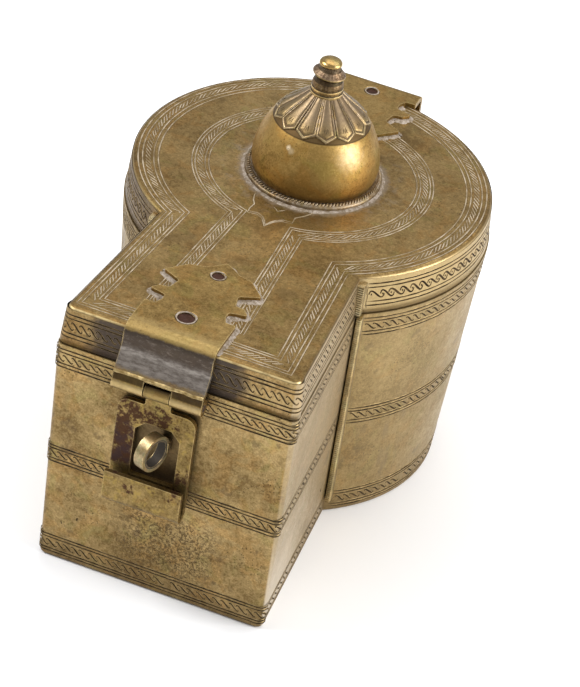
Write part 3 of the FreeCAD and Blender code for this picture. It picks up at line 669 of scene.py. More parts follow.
class Effect(Fields):
    """A shader effect that several materials share: a group with named inputs and outputs."""

    def __init__(self, name, inputs, outputs):
        super().__init__(bpy.data.node_groups.new(name, "ShaderNodeTree"))
        kinds = {1: "NodeSocketFloat", 3: "NodeSocketVector", 4: "NodeSocketColor"}
        for key, size in inputs.items():
            self.tree.interface.new_socket(key, in_out="INPUT", socket_type=kinds[size])
        for key, size in outputs.items():
            self.tree.interface.new_socket(key, in_out="OUTPUT", socket_type=kinds[size])
        self.given = self.node("NodeGroupInput").outputs
        if "Place" in inputs:
            self.spread(self.given["Place"])

    def give(self, **values):
        result = self.node("NodeGroupOutput")
        for key, value in values.items():
            self.put(result.inputs[key], value)
        return self.tree


def grain_effect():
    """Colour clouds, fine mottling and speckle of old brass, some parts redder and some greener."""
    effect = Effect("brass_grain", {"Place": 3, "Shift": 1, "Deep": 4, "Middle": 4, "Bright": 4, "Width": 1},
                    {"Colour": 4, "Tone": 1, "Fine": 1, "Speckle": 1})
    given = effect.given
    shift, width = given["Shift"], given["Width"]
    clouds = effect.noise(15, detail=5, warp=0.5, shift=shift)
    fine = effect.noise(1.5, detail=6, rough=0.7, shift=effect.add(shift, 3.0))
    speckle = effect.noise(0.5, detail=3, rough=0.75, shift=effect.add(shift, 7.0))
    tone = effect.add(effect.times(clouds, 0.36), effect.times(fine, 0.32), effect.times(speckle, 0.32))
    colour = effect.mix(effect.band(tone, effect.math("SUBTRACT", 0.485, width), 0.50), given["Deep"], given["Middle"])
    colour = effect.mix(effect.band(tone, 0.50, effect.add(width, 0.515)), colour, given["Bright"])
    warm = effect.band(effect.noise(5.5, detail=4, warp=0.8, shift=effect.add(shift, 11.0)), 0.50, 0.62)
    cool = effect.band(effect.noise(7.0, detail=4, warp=0.8, shift=effect.add(shift, 17.0)), 0.52, 0.66)
    colour = effect.mix(effect.times(warm, 0.8), colour, (1.04, 0.94, 0.82, 1), "MULTIPLY")
    colour = effect.mix(effect.times(cool, 0.8), colour, (0.90, 0.99, 0.88, 1), "MULTIPLY")
    return effect.give(Colour=colour, Tone=tone, Fine=fine, Speckle=speckle)


def pits_effect():
    """Small round pits that come in patches."""
    effect = Effect("pits", {"Place": 3, "Size": 1, "Radius": 1, "Shift": 1}, {"Mask": 1})
    given = effect.given
    patches = effect.band(effect.noise(11, shift=given["Shift"]), 0.50, 0.62)
    cells = effect.scale(effect.place, effect.math("DIVIDE", 1.0, given["Size"]))
    cells = effect.vector("ADD", cells, effect.scale((1.0, 1.0, 1.0), given["Shift"]))
    distance = effect.call("ShaderNodeTexVoronoi", {"Vector": cells, "Scale": 1.0})
    inside = effect.band(distance, effect.times(given["Radius"], 0.5), effect.times(given["Radius"], 1.3), 1.0, 0.0)
    return effect.give(Mask=effect.times(inside, patches))


def wear_effect():
    """Outer edges that handling keeps bright, broken up by the fine mottling."""
    effect = Effect("edge_wear", {"Radius": 1, "Fine": 1}, {"Mask": 1})
    given = effect.given
    rounded = effect.call("ShaderNodeBevel", {"Radius": effect.times(given["Radius"], MM)}, samples=4)
    flat = effect.node("ShaderNodeNewGeometry").outputs["Normal"]
    turned = effect.math("SUBTRACT", 1.0, effect.vector("DOT_PRODUCT", rounded, flat))
    mask = effect.times(effect.band(turned, 0.02, 0.2), effect.band(given["Fine"], 0.3, 0.6, 0.45, 1.0))
    return effect.give(Mask=mask)


def relief_effect():
    """Shallow dents, speckle and fine scratches of sheet worked by hand."""
    effect = Effect("hammered_relief", {"Place": 3, "Speckle": 1, "Dents": 1, "Grain": 1}, {"Normal": 3})
    given = effect.given
    dents, grain = given["Dents"], given["Grain"]
    normal = None
    for height, depth in ((effect.noise(13, detail=2, rough=0.4, shift=4), dents),
                          (effect.noise(3.4, detail=3, rough=0.5, shift=9), effect.times(dents, 0.14)),
                          (given["Speckle"], grain),
                          (effect.noise(0.5, detail=2, rough=0.6, stretch=(14, 1, 1), shift=2), effect.times(grain, 0.7))):
        values = {"Strength": 1.0, "Distance": effect.times(depth, MM), "Height": height}
        if normal:
            values["Normal"] = normal
        normal = effect.call("ShaderNodeBump", values)
    return effect.give(Normal=normal)


def seam_effect():
    """Dirt along a seam: full at the end level, gone at the start level."""
    effect = Effect("seam_dirt", {"Place": 3, "Start": 1, "End": 1}, {"Mask": 1})
    level = effect.add(effect.z, effect.times(effect.noise(1.5, detail=4, shift=61), 0.3), -0.15)
    return effect.give(Mask=effect.band(level, effect.given["Start"], effect.given["End"]))


def mottle_effect():
    """Dark and pale flecks on the turned knob."""
    effect = Effect("knob_flecks", {"Place": 3, "Shift": 1, "Strength": 1, "Colour": 4}, {"Colour": 4})
    given = effect.given
    dark = effect.band(effect.noise(0.8, detail=5, rough=0.7, shift=given["Shift"]), 0.50, 0.60)
    pale = effect.band(effect.noise(0.6, detail=4, rough=0.7, shift=effect.add(given["Shift"], 5.0)), 0.54, 0.64)
    colour = effect.mix(effect.times(dark, given["Strength"]), given["Colour"], (0.060, 0.034, 0.018, 1))
    colour = effect.mix(effect.times(pale, given["Strength"], 0.7), colour, (0.42, 0.32, 0.20, 1))
    return effect.give(Colour=colour)


EFFECTS = {"grain": grain_effect(), "pits": pits_effect(), "wear": wear_effect(), "relief": relief_effect(),
           "seam": seam_effect(), "mottle": mottle_effect()}


class Tree(Fields):
    """The nodes of one material."""

    def __init__(self, name):
        self.material = bpy.data.materials.new(name)
        self.material.use_nodes = True
        super().__init__(self.material.node_tree)
        self.shader = self.tree.nodes["Principled BSDF"]
        coordinate = self.node("ShaderNodeTexCoord")
        self.spread(self.scale(coordinate.outputs["Object"], 1 / MM))

    def effect(self, key, **values):
        made = self.node("ShaderNodeGroup", node_tree=EFFECTS[key])
        if "Place" in made.inputs:
            self.put(made.inputs["Place"], self.place)
        for name, value in values.items():
            self.put(made.inputs[name], value)
        return made.outputs

    def bump(self, height, distance):
        """Adds a relief of this depth in millimetres to the surface."""
        socket = self.shader.inputs["Normal"]
        values = {"Strength": 1.0, "Distance": distance * MM, "Height": height}
        if socket.is_linked:
            values["Normal"] = socket.links[0].from_socket
        self.tree.links.new(self.call("ShaderNodeBump", values), socket)

    def finish(self, colour, roughness, metallic):
        self.put(self.shader.inputs["Base Color"], colour)
        self.put(self.shader.inputs["Roughness"], roughness)
        self.put(self.shader.inputs["Metallic"], metallic)
        return self.material


DARK = (0.030, 0.018, 0.008, 1)
RESIDUE = (0.34, 0.285, 0.225, 1)
RUST = (0.072, 0.030, 0.017, 1)
SLATE = (0.060, 0.047, 0.041, 1)


class Brass(Tree):
    """Old brass: colour clouds, stains, fine pits, scratches and edges worn bright."""

    def __init__(self, name, middle, grain=0.0, contrast=1.0):
        super().__init__(name)
        deep = [c * k for c, k in zip(middle, (0.60, 0.56, 0.50))]
        bright = [c * k for c, k in zip(middle, (1.42, 1.45, 1.55))]
        made = self.effect("grain", Shift=grain, Deep=(*deep, 1), Middle=(*middle, 1), Bright=(*bright, 1),
                           Width=0.075 / contrast)
        self.colour, self.tone, self.fine, self.speckle = made
        self.rough = self.band(self.tone, 0.40, 0.62, 0.52, 0.34)
        self.metal = 0.92

    def tint(self, share, colour, strength=1.0):
        mask = self.times(share, strength)
        self.colour = self.mix(mask, self.colour, colour)
        return mask

    def dull(self, mask, roughness):
        self.rough = self.add(self.times(self.rough, self.math("SUBTRACT", 1.0, mask, clamp=True)),
                              self.times(mask, roughness))

    def spots(self, size, radius, share, shift):
        self.tint(self.effect("pits", Size=size, Radius=radius, Shift=shift)["Mask"], DARK, share)

    def beside(self, side):
        """One on the spout's right side, whose plane is this far from the middle before its flare."""
        return self.band(self.add(self.x, self.times(self.y, SPOUT_FLARE)), side - 1.5, side - 1.0)

    def pale_film_and_sheen(self, mask, strength=0.7):
        """A pale tint: partly a dull film, partly painted sheen on the sides that face the right lamp."""
        self.tint(mask, (0.50, 0.40, 0.26, 1), strength)

    def wear(self, radius, bright, strength=0.8):
        mask = self.effect("wear", Radius=radius, Fine=self.fine)["Mask"]
        self.tint(mask, (*bright, 1), strength)
        self.dull(self.times(mask, strength), 0.26)

    def relief(self, dents=0.12, grain=0.018):
        made = self.effect("relief", Speckle=self.speckle, Dents=dents, Grain=grain)
        self.put(self.shader.inputs["Normal"], made["Normal"])

    def done(self):
        return self.finish(self.colour, self.rough, self.metal)


LID_TONE = (0.235, 0.153, 0.055)
BODY_TONE = (0.285, 0.196, 0.080)
SKIRT_TONE = (0.285, 0.195, 0.080)
DOME_TONE = (0.350, 0.218, 0.064)
STRAP_TONE = (0.255, 0.163, 0.052)
HASP_TONE = (0.205, 0.138, 0.048)
EDGE_TONE = (0.62, 0.46, 0.21)


def ring_distance(tree, radius):
    """Distance in plan outside a circle about the dome."""
    plan = tree.math("SQRT", tree.add(tree.times(tree.x, tree.x), tree.times(tree.y, tree.y)))
    return tree.math("SUBTRACT", plan, radius)


def lid_sheet():
    brass = Brass("aged_brass_lid", LID_TONE, grain=1.0)
    brass.spots(0.9, 0.22, 0.7, 5.0)
    stains = brass.band(brass.noise(9, detail=4, warp=0.6, shift=21), 0.56, 0.70)
    brass.tint(stains, (0.11, 0.066, 0.022, 1), 0.5)
    # Residue round the dome, thickest close to its ring
    distance = ring_distance(brass, RING_RADIUS)
    uneven = brass.add(distance, brass.times(brass.noise(2.0, detail=6, rough=0.75, shift=31), 4.4), -2.2)
    residue = brass.band(uneven, 2.4, 0.2)
    brass.tint(residue, RESIDUE, 0.75)
    brass.dull(brass.times(residue, 0.8), 0.8)
    # A film of it further out in patches
    film = brass.times(brass.band(distance, 9.0, 1.0), brass.band(brass.noise(3.5, detail=6, rough=0.7, shift=37), 0.52, 0.66))
    brass.tint(film, (0.32, 0.265, 0.19, 1), 0.45)
    # Painted highlight: a bright line on the front edge, patina below it
    front = brass.band(brass.y, -LID_FRONT + 2.0, -LID_FRONT + 1.2)
    edge = brass.times(front, brass.window(brass.z, LID_TOP - 0.62, LID_TOP - 0.26, 0.12),
                       brass.band(brass.noise(3.0, detail=4, shift=43), 0.34, 0.5, 0.4, 1.0))
    shade = brass.times(front, brass.band(brass.z, LID_TOP - 0.6, LID_TOP - 0.9),
                        brass.band(brass.noise(7, shift=13), 0.30, 0.54))
    brass.tint(shade, SLATE, 0.8)
    brass.tint(edge, (0.80, 0.62, 0.31, 1), 0.9)
    # Pale film and painted sheen on the right edge
    right = brass.times(brass.beside(LID_SIDE), brass.band(brass.z, LID_TOP - 0.25, LID_TOP - 1.0),
                        brass.band(brass.y, -34.0, -37.0))
    brass.pale_film_and_sheen(right, 0.5)
    # Painted highlight along the round part's rounded edge
    rounded = brass.times(brass.band(brass.z, LID_TOP - 0.1, LID_TOP - 0.6), brass.band(brass.y, -37.0, -33.0))
    brass.tint(rounded, (0.66, 0.50, 0.26, 1), 0.6)
    brass.relief(0.14)
    return brass.done()


def seam_dirt(brass, start, end, strength):
    mask = brass.effect("seam", Start=start, End=end)["Mask"]
    brass.tint(mask, DARK, strength)
    brass.dull(brass.times(mask, strength), 0.8)


def skirt_sheet():
    brass = Brass("aged_brass_skirt", SKIRT_TONE, grain=2.0)
    brass.spots(0.8, 0.2, 0.6, 6.0)
    front = brass.band(brass.y, -LID_FRONT + 0.9, -LID_FRONT + 0.1)
    near = brass.band(brass.math("ABSOLUTE", brass.math("ADD", brass.x, 2.8)), 25.0, 12.5)
    patch = brass.band(brass.add(brass.times(near, 0.6), brass.noise(5, detail=5, shift=13)), 0.60, 0.95)
    brass.tint(brass.times(front, patch), SLATE, 0.92)
    brass.dull(brass.times(front, patch, 0.6), 0.6)
    reddish = brass.times(front, brass.window(brass.z, SKIRT_LOW + 0.7, SKIRT_LOW + 2.4, 0.5))
    brass.colour = brass.mix(brass.times(reddish, 0.6), brass.colour, (0.72, 0.62, 0.56, 1), "MULTIPLY")
    # Painted shade: the left of the round part is dark under its edge
    left = brass.times(brass.band(brass.x, -24.0, -30.0), brass.band(brass.y, -44.0, -42.0))
    brass.tint(left, (0.10, 0.066, 0.04, 1), 0.72)
    # Pale film and painted sheen on the right side
    right = brass.times(brass.beside(LID_SIDE + 0.3), brass.band(brass.y, -34.0, -37.0))
    brass.pale_film_and_sheen(right, 0.5)
    # Painted sheen on the round part beside the right corner
    around = brass.times(brass.band(brass.y, -38.5, -36.0), brass.band(brass.x, 20.0, 26.0))
    brass.tint(around, (0.50, 0.375, 0.185, 1), 0.62)
    seam_dirt(brass, SKIRT_LOW + 0.4, SKIRT_LOW + 0.1, 0.7)
    brass.relief(0.10)
    return brass.done()


def body_sheet():
    brass = Brass("aged_brass_body", BODY_TONE, grain=3.0)
    brass.spots(0.85, 0.24, 0.8, 8.0)
    # Pitting on the front below the hasp
    front = brass.band(brass.y, -RIM_FRONT + 5.0, -RIM_FRONT + 4.0)
    centre = brass.times(brass.window(brass.x, -9.0, 15.0, 5.0), brass.window(brass.z, 7.0, 25.0, 5.0))
    pits = brass.band(brass.noise(0.62, detail=4, rough=0.72, shift=41), 0.50, 0.58)
    pitted = brass.times(front, centre, pits)
    brass.tint(pitted, (0.080, 0.048, 0.020, 1), 0.8)
    # Dark stains, and streaks that run down the round wall
    stains = brass.band(brass.noise(6.5, detail=5, rough=0.65, shift=47), 0.585, 0.68)
    brass.tint(stains, (0.10, 0.066, 0.034, 1), 0.55)
    streaks = brass.band(brass.noise(5, detail=5, rough=0.65, stretch=(1, 1, 3.5), shift=53), 0.55, 0.72)
    brass.tint(brass.times(streaks, brass.band(brass.y, -50.0, -35.0)), (0.15, 0.108, 0.066, 1), 0.55)
    # Darker foot
    foot = brass.band(brass.add(brass.z, brass.times(brass.noise(5, shift=3), 8.0)), 13.0, 3.0)
    brass.tint(foot, (0.12, 0.076, 0.036, 1), 0.5)
    # Painted shadow on the wall behind the hasp's window
    window = brass.times(front, brass.window(brass.x, low("hasp_plate").x + 4.0, high("hasp_plate").x - 2.5, 1.0),
                         brass.window(brass.z, 34.5, 52.5, 1.0))
    brass.tint(window, (0.085, 0.055, 0.028, 1), 0.72)
    # Pale film and painted reflection on the spout's right side, most of all low down
    right = brass.times(brass.beside(BODY_SIDE), brass.band(brass.y, -35.5, -37.5))
    low_film_and_reflection = brass.times(brass.band(brass.z, 34.0, 6.0), brass.band(brass.y, -50.0, -78.0))
    brass.pale_film_and_sheen(right, 0.36)
    brass.tint(brass.times(right, low_film_and_reflection), (0.66, 0.58, 0.46, 1), 0.7)
    # Painted sheen on the round wall beside the right corner
    around = brass.band(brass.y, -40.0, -36.0)
    brass.tint(brass.times(around, brass.band(brass.x, 20.0, 34.0)), (0.40, 0.30, 0.15, 1), 0.35)
    seam_dirt(brass, RIM - 0.35, RIM - 0.05, 0.2)
    brass.relief(0.16)
    brass.bump(pitted, -0.06)
    return brass.done()


def dome_brass(petal_level):
    brass = Brass("rubbed_brass_dome", DOME_TONE, grain=4.0, contrast=0.7)
    brass.rough = brass.band(brass.tone, 0.40, 0.62, 0.54, 0.43)
    # Painted highlights: a pale sheen on the right shoulder and a small bright spot on the left
    for place, reach, strength in (((9.4, -7.0, LID_TOP + 12.2), 5.5, 0.35), ((-3.4, -13.2, LID_TOP + 13.6), 0.9, 0.9),
                                   ((-2.4, -13.6, LID_TOP + 13.0), 1.2, 0.35)):
        distance = brass.vector("DISTANCE", brass.place, place)
        uneven = brass.add(distance, brass.times(brass.noise(1.3, detail=5, rough=0.7, shift=51), reach * 0.9))
        brass.tint(brass.band(uneven, reach * 1.45, reach * 0.6), (0.90, 0.74, 0.50, 1), strength)
    brass.spots(0.7, 0.2, 0.8, 12.0)
    foot = brass.band(brass.add(brass.z, brass.times(brass.noise(3, shift=3), 3.0)), LID_TOP + 5.0, LID_TOP + 1.5)
    brass.tint(foot, (0.14, 0.082, 0.026, 1), 0.6)
    # Darker between the petals' tips
    between_tips = brass.band(brass.z, petal_level - 0.12, petal_level + 0.12)
    brass.tint(between_tips, (0.10, 0.062, 0.028, 1), 0.9)
    brass.dull(brass.times(between_tips, 0.8), 0.6)
    brass.tint(brass.window(brass.z, petal_level - 0.1, petal_level + 0.15, 0.1), DARK, 0.7)
    brass.relief(0.08, 0.01)
    return brass.done()


def ring_brass():
    """The ring and its twisted wire, with polish left in the hollows."""
    brass = Brass("rope_ring_brass", (0.24, 0.170, 0.092), grain=14.0)
    brass.rough = 0.5
    dirt = brass.band(brass.noise(1.2, detail=5, rough=0.7, shift=8), 0.46, 0.60)
    brass.tint(dirt, (0.36, 0.30, 0.24, 1), 0.55)
    brass.relief(0.03, 0.03)
    return brass.done()


def petal_brass():
    brass = Brass("rubbed_brass_petals", (0.31, 0.215, 0.092), grain=5.0)
    brass.rough = brass.band(brass.tone, 0.40, 0.62, 0.52, 0.38)
    # Duller and browner towards the finial and on the left
    upper = brass.band(brass.add(brass.z, brass.times(brass.noise(2.0, shift=9), 3.0)), LID_TOP + 18.5, LID_TOP + 22.5)
    brass.tint(upper, (0.24, 0.175, 0.115, 1), 0.75)
    left = brass.band(brass.x, -2.0, -8.0)
    brass.tint(left, (0.19, 0.135, 0.060, 1), 0.6)
    brass.relief(0.03, 0.02)
    return brass.done()


def petal_groove():
    """Hollows beside the petals' rims."""
    brass = Brass("petal_hollows", (0.125, 0.084, 0.044), grain=19.0)
    brass.rough = 0.6
    return brass.done()


def petal_ridge():
    """Rims of the petals: rubbed bright, with polish dried beside them higher up."""
    brass = Brass("rubbed_brass_rims", (0.30, 0.212, 0.100), grain=15.0)
    tips = brass.band(brass.z, LID_TOP + 17.8, LID_TOP + 16.3)
    brass.tint(brass.times(tips, brass.band(brass.noise(2.2, detail=3, shift=3), 0.40, 0.56)), (0.62, 0.48, 0.25, 1), 0.75)
    polish = brass.times(brass.band(brass.z, LID_TOP + 15.0, LID_TOP + 21.0),
                         brass.band(brass.noise(1.6, detail=5, shift=5), 0.40, 0.58))
    brass.tint(polish, (0.36, 0.275, 0.205, 1), 0.6)
    brass.rough = 0.38
    brass.relief(0.03, 0.02)
    return brass.done()


def finial_brass(name, middle, roughness, grain, spotted=0.65):
    brass = Brass(name, middle, grain=grain)
    brass.rough = brass.band(brass.tone, 0.40, 0.62, roughness + 0.06, roughness - 0.04)
    brass.colour = brass.effect("mottle", Shift=grain, Strength=spotted, Colour=brass.colour)["Colour"]
    brass.relief(0.03, 0.02)
    return brass.done()


def fitting_brass():
    brass = Brass("worn_brass_strap", STRAP_TONE, grain=6.0)
    brass.spots(0.8, 0.22, 0.7, 9.0)
    # Painted highlight in front of the bend
    bend = brass.window(brass.add(brass.y, brass.times(brass.noise(3.0, detail=5, shift=19), 2.4)),
                        -LID_FRONT + 0.4, -LID_FRONT + 5.2, 1.0)
    bend = brass.times(bend, brass.band(brass.noise(0.9, detail=5, rough=0.7, shift=23), 0.36, 0.56, 0.45, 1.0))
    brass.tint(bend, (0.43, 0.305, 0.120, 1), 0.62)
    # Patina on the drop: dark under the bend, greyer towards the lip
    drop = brass.band(brass.y, -LID_FRONT - 0.35, -LID_FRONT - 0.8)
    height = brass.add(brass.z, brass.times(brass.noise(1.8, detail=5, rough=0.65, shift=15), 1.4), -0.7)
    dark = brass.times(drop, brass.window(height, LID_TOP - 8.6, LID_TOP - 0.2, 0.35))
    brass.tint(dark, SLATE, 0.93)
    brass.dull(brass.times(dark, 0.7), 0.52)
    dusty = brass.times(drop, brass.band(brass.noise(0.8, detail=6, rough=0.8, stretch=(2.5, 1, 1), shift=16), 0.50, 0.68))
    brass.tint(dusty, (0.20, 0.165, 0.135, 1), 0.7)
    streaks = brass.band(brass.noise(0.9, detail=6, rough=0.75, stretch=(3.0, 1, 0.8), shift=17), 0.34, 0.66, 0.25, 1.0)
    grey = brass.times(drop, brass.window(height, LID_TOP - 8.9, LID_TOP - 4.4, 1.2), streaks)
    brass.tint(grey, (0.36, 0.315, 0.275, 1), 0.8)
    ridge = brass.times(drop, brass.window(height, LID_TOP - 5.6, LID_TOP - 4.7, 0.5), streaks)
    brass.tint(ridge, (0.56, 0.50, 0.44, 1), 0.6)
    # Painted shade in the crease between lip and knuckles
    crease = brass.times(brass.band(brass.y, -LID_FRONT - 4.0, -LID_FRONT - 4.3),
                         brass.window(brass.z, LID_TOP - 11.7, LID_TOP - 9.9, 0.25))
    brass.tint(crease, DARK, 0.85)
    # Painted highlight on the knuckles' fronts
    knuckle = brass.times(brass.band(brass.y, -LID_FRONT - 4.6, -LID_FRONT - 5.0),
                          brass.window(brass.z, LID_TOP - 13.7, LID_TOP - 12.0, 0.35))
    brass.tint(knuckle, (0.56, 0.42, 0.20, 1), 0.6)
    brass.wear(0.6, EDGE_TONE, 0.85)
    brass.relief(0.07, 0.03)
    return brass.done()


def staple_brass(centre, inner):
    """The staple: dull outside, dark iron dirt and painted shade inside the ring."""
    brass = Brass("dull_brass_staple", (0.30, 0.225, 0.120), grain=16.0)
    green = brass.band(brass.noise(1.8, detail=4, shift=9), 0.48, 0.60)
    brass.colour = brass.mix(brass.times(green, 0.7), brass.colour, (0.80, 0.98, 0.95, 1), "MULTIPLY")
    inside = brass.band(brass.vector("DISTANCE", brass.place, centre), inner + 0.80, inner + 0.60)
    brass.tint(inside, (0.055, 0.048, 0.046, 1), 0.92)
    brass.dull(inside, 0.7)
    brass.rough = brass.math("MAXIMUM", brass.rough, 0.42)
    brass.wear(0.5, EDGE_TONE, 0.7)
    brass.relief(0.06, 0.03)
    return brass.done()


def hasp_brass():
    brass = Brass("rusted_brass_hasp", HASP_TONE, grain=7.0, contrast=1.3)
    yellow = brass.band(brass.noise(1.7, detail=5, rough=0.65, shift=33), 0.52, 0.64)
    brass.tint(yellow, (0.34, 0.235, 0.060, 1), 0.6)
    # Rust bleeds from the pin and the staple over the upper and left parts
    grain = brass.noise(2.4, detail=6, rough=0.68, shift=3)
    upper = brass.times(brass.window(brass.z, 50.0, 57.0, 2.5), brass.band(brass.x, 6.0, -2.0))
    left = brass.times(brass.band(brass.x, -6.0, -9.0), brass.window(brass.z, 37.0, 50.0, 2.0))
    corner = brass.times(brass.band(brass.x, 2.0, 4.5), brass.window(brass.z, 34.0, 41.0, 2.0))
    head = brass.times(brass.window(brass.z, 32.0, 34.8, 0.6), brass.window(brass.x, -7.6, -4.6, 0.8))
    place = brass.add(brass.times(upper, 0.16), brass.times(left, 0.24), brass.times(corner, 0.13),
                      brass.times(head, 0.16), grain)
    rust = brass.band(place, 0.60, 0.70)
    brass.tint(rust, RUST, 0.9)
    brass.dull(brass.times(rust, 0.8), 0.75)
    purple = brass.times(left, brass.band(brass.noise(3.0, shift=29), 0.42, 0.60))
    brass.tint(purple, (0.055, 0.032, 0.032, 1), 0.75)
    knuckle_shade = brass.band(brass.z, 62.2, 62.9)
    brass.tint(knuckle_shade, DARK, 0.9)
    brass.wear(0.5, EDGE_TONE, 0.55)
    brass.relief(0.06, 0.05)
    return brass.done()


def copper():
    brass = Brass("dark_copper_rivet", (0.060, 0.030, 0.022), grain=8.0)
    brass.rough = 0.62
    brass.relief(0.03, 0.03)
    return brass.done()


def iron():
    brass = Brass("rusted_iron", (0.065, 0.045, 0.035), grain=9.0)
    brass.rough = 0.7
    brass.metal = 0.6
    brass.relief(0.03, 0.05)
    return brass.done()


def cut_dark():
    """Floor of an engraved line on the walls: old dirt."""
    tree = Tree("engraving_dark")
    tone = tree.band(tree.noise(2.2, detail=4, shift=3), 0.35, 0.7)
    colour = tree.mix(tone, (0.016, 0.010, 0.005, 1), (0.085, 0.054, 0.024, 1))
    tree.bump(tree.noise(0.3), 0.02)
    tree.shader.inputs["Specular IOR Level"].default_value = 0.1
    return tree.finish(colour, 0.8, 0.0)


def cut_pale():
    """Floor of an engraved line on the lid: dried polish."""
    tree = Tree("engraving_pale")
    tone = tree.band(tree.noise(3.2, detail=5, shift=5), 0.35, 0.65)
    colour = tree.mix(tone, (0.22, 0.158, 0.082, 1), (0.44, 0.355, 0.250, 1))
    tree.bump(tree.noise(0.3), 0.02)
    tree.shader.inputs["Specular IOR Level"].default_value = 0.2
    return tree.finish(colour, 0.7, 0.2)


def cut_edge(name, deep, bright):
    """Edges of an engraved line."""
    tree = Tree(name)
    tone = tree.band(tree.noise(1.4, detail=4, shift=9), 0.35, 0.7)
    tree.bump(tree.noise(0.3), 0.02)
    return tree.finish(tree.mix(tone, deep, bright), 0.42, 0.9)


def residue():
    tree = Tree("dried_polish")
    tone = tree.band(tree.noise(1.1, detail=6, rough=0.75, shift=5), 0.36, 0.66)
    colour = tree.mix(tone, (0.19, 0.142, 0.092, 1), (0.43, 0.365, 0.305, 1))
    tree.bump(tree.noise(0.5, detail=5, rough=0.7), 0.12)
    tree.shader.inputs["Specular IOR Level"].default_value = 0.2
    return tree.finish(colour, 0.85, 0.0)


def paint(material, *nodes):
    """Gives carried-over CAD nodes their material, by slots only."""
    for name in nodes:
        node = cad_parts[name]
        if not node.material_slots:
            node.data.materials.append(material)
        for slot in node.material_slots:
            slot.material = material


# Engraved bands

LINE = 0.36                  # width of an engraved line on the walls
STROKE = 0.36
EYE_LINE = 0.46
LID_LINE = 0.30
LID_STROKE = 0.30


def flat_places(path):
    """The points of a plan path on the lid's top face."""
    return [(Vector((p.x, p.y, LID_TOP)), Vector((0, 0, 1))) for p in path.points]


def fine_places(path, step=0.4):
    count = int(path.total / step)
    ways = [path.at(path.total * i / count)[0] for i in range(count + 1)]
    return [(Vector((p.x, p.y, LID_TOP)), Vector((0, 0, 1))) for p in ways]


def near_any(points, reach):
    return lambda p: any((Vector((p.x, p.y)) - q).length < reach for q in points)


def inner_keyhole(radius, left_x, right_x, end_y):
    """One line of the inner band: up the left arm, round the circle and down the right arm."""
    left_flare, right_flare = 0.058, 0.056
    pivot = -28.0
    left_top = Vector((left_x, -math.sqrt(max(radius * radius - left_x * left_x, 1.0))))
    right_top = Vector((right_x, -math.sqrt(max(radius * radius - right_x * right_x, 1.0))))
    left_low = Vector((left_x - left_flare * (pivot - end_y), end_y))
    right_low = Vector((right_x + right_flare * (pivot - end_y), end_y))
    points = ramp(left_low, left_top, 30)[:-1]
    points += arc(radius, turn_of(left_top), turn_of(right_top) - 360, 160)
    points += ramp(right_top, right_low, 30)[1:]
    return Path(points)


LID_PITCH = 1.55
LID_HALF = 0.60


def engrave_lid(recipe, pale, edge):
    guides = Guides()
    for insets in ((6.5, 8.0, 6.3, 7.4), (5.35, 7.0, 5.4, 6.5), (2.6, 4.1, 2.6, 3.3), (1.45, 3.0, 1.7, 2.3)):
        guides.add(flat_places(lid_outline(*insets)))
    for radius, left_x, right_x in ((26.0, -7.9, 3.9), (26.9, -8.8, 4.7), (29.4, -10.9, 7.5), (30.2, -11.75, 8.3)):
        guides.add(flat_places(inner_keyhole(radius, left_x, right_x, -74.0)))
    for rope in (lid_outline(3.95, 5.6, 4.05, 4.9), inner_keyhole(28.15, -9.85, 6.1, -74.0)):
        sharp = [rope.at(c)[0] for c in rope.corners(30)]
        guides.add(fine_places(rope), rope=True, blocked=near_any(sharp, LID_PITCH * 0.9))
    ogee = ((-7.6, -25.3), (-5.2, -24.9), (-3.6, -25.8), (-2.5, -27.4), (-1.8, -28.8), (-1.2, -27.3), (-0.2, -25.7),
            (1.4, -24.5), (3.6, -24.2))
    for shift in (0.0, 0.75):
        guides.add(flat_places(Path([Vector((x, y + shift)) for x, y in ogee])))
    necks = (((-9.0, -15.2), (-8.9, -17.0), (-8.3, -19.4), (-7.4, -21.0), (-7.7, -23.0), (-7.6, -25.3)),
             ((6.6, -15.9), (6.2, -17.6), (5.0, -19.6), (3.5, -21.3), (3.6, -22.9), (3.7, -24.3)),
             ((-2.8, -19.6), (-1.9, -20.3), (-1.3, -21.0), (-0.7, -20.2), (0.1, -19.6)))
    for points in necks:
        guides.add(flat_places(Path([Vector(p) for p in points])), width=1.2)
    grow(recipe, guides.mesh("lid_lines"), "engraving_lid_top", "lid", "brass_sheet", floor=pale, edges=edge,
         line_width=LID_LINE, stroke_width=LID_STROKE, pitch=LID_PITCH, half_height=LID_HALF, reach=0.92, hook=0.72, seed=5)


def band_places(wall, level, start, end):
    """Places round a wall at a level, between two lengths from its start."""
    stops = [start] + [s for s in wall.path.lengths if start < s < end] + [end]
    return [wall.at(s, level, 0.0) for s in stops]


def ring_walls(guides, wall, lines, ropes, inset=1.5):
    end = wall.path.total - inset
    for level in lines:
        guides.add(band_places(wall, level, inset, end))
    for level in ropes:
        guides.add(band_places(wall, level, inset + 0.4, end - 0.4), rope=True)


SKIRT_LEAN = 0.6             # the skirts stand out at their foot, almost flush with the body
SKIRT_LINES = (72.25, 71.2, 67.25, 66.15)
SKIRT_ROPE = 69.2
BODY_LINES = (62.6, 61.6, 58.45, 57.45, 33.8, 32.9, 30.0, 29.1, 6.6, 5.75, 2.45, 1.65)
BODY_ROPES = (60.0, 31.45, 4.1)


def skirt_walls():
    """The lid's skirts, from the plate's edge to their slightly flared foot."""
    foot_side = LID_SIDE + SKIRT_LEAN * FLARE_SCALE
    round_top = round_line(LID_RADIUS, LID_SIDE)
    round_foot = round_line(LID_RADIUS + SKIRT_LEAN, foot_side)
    spout_top = spout_line(LID_RADIUS, LID_SIDE, LID_FRONT, LID_CORNER)
    spout_foot = spout_line(LID_RADIUS + SKIRT_LEAN, foot_side, LID_FRONT + SKIRT_LEAN, LID_CORNER)
    return (Wall(round_top, round_foot, LID_TOP - 0.6, SKIRT_LOW), Wall(spout_top, spout_foot, LID_TOP - 0.6, SKIRT_LOW))


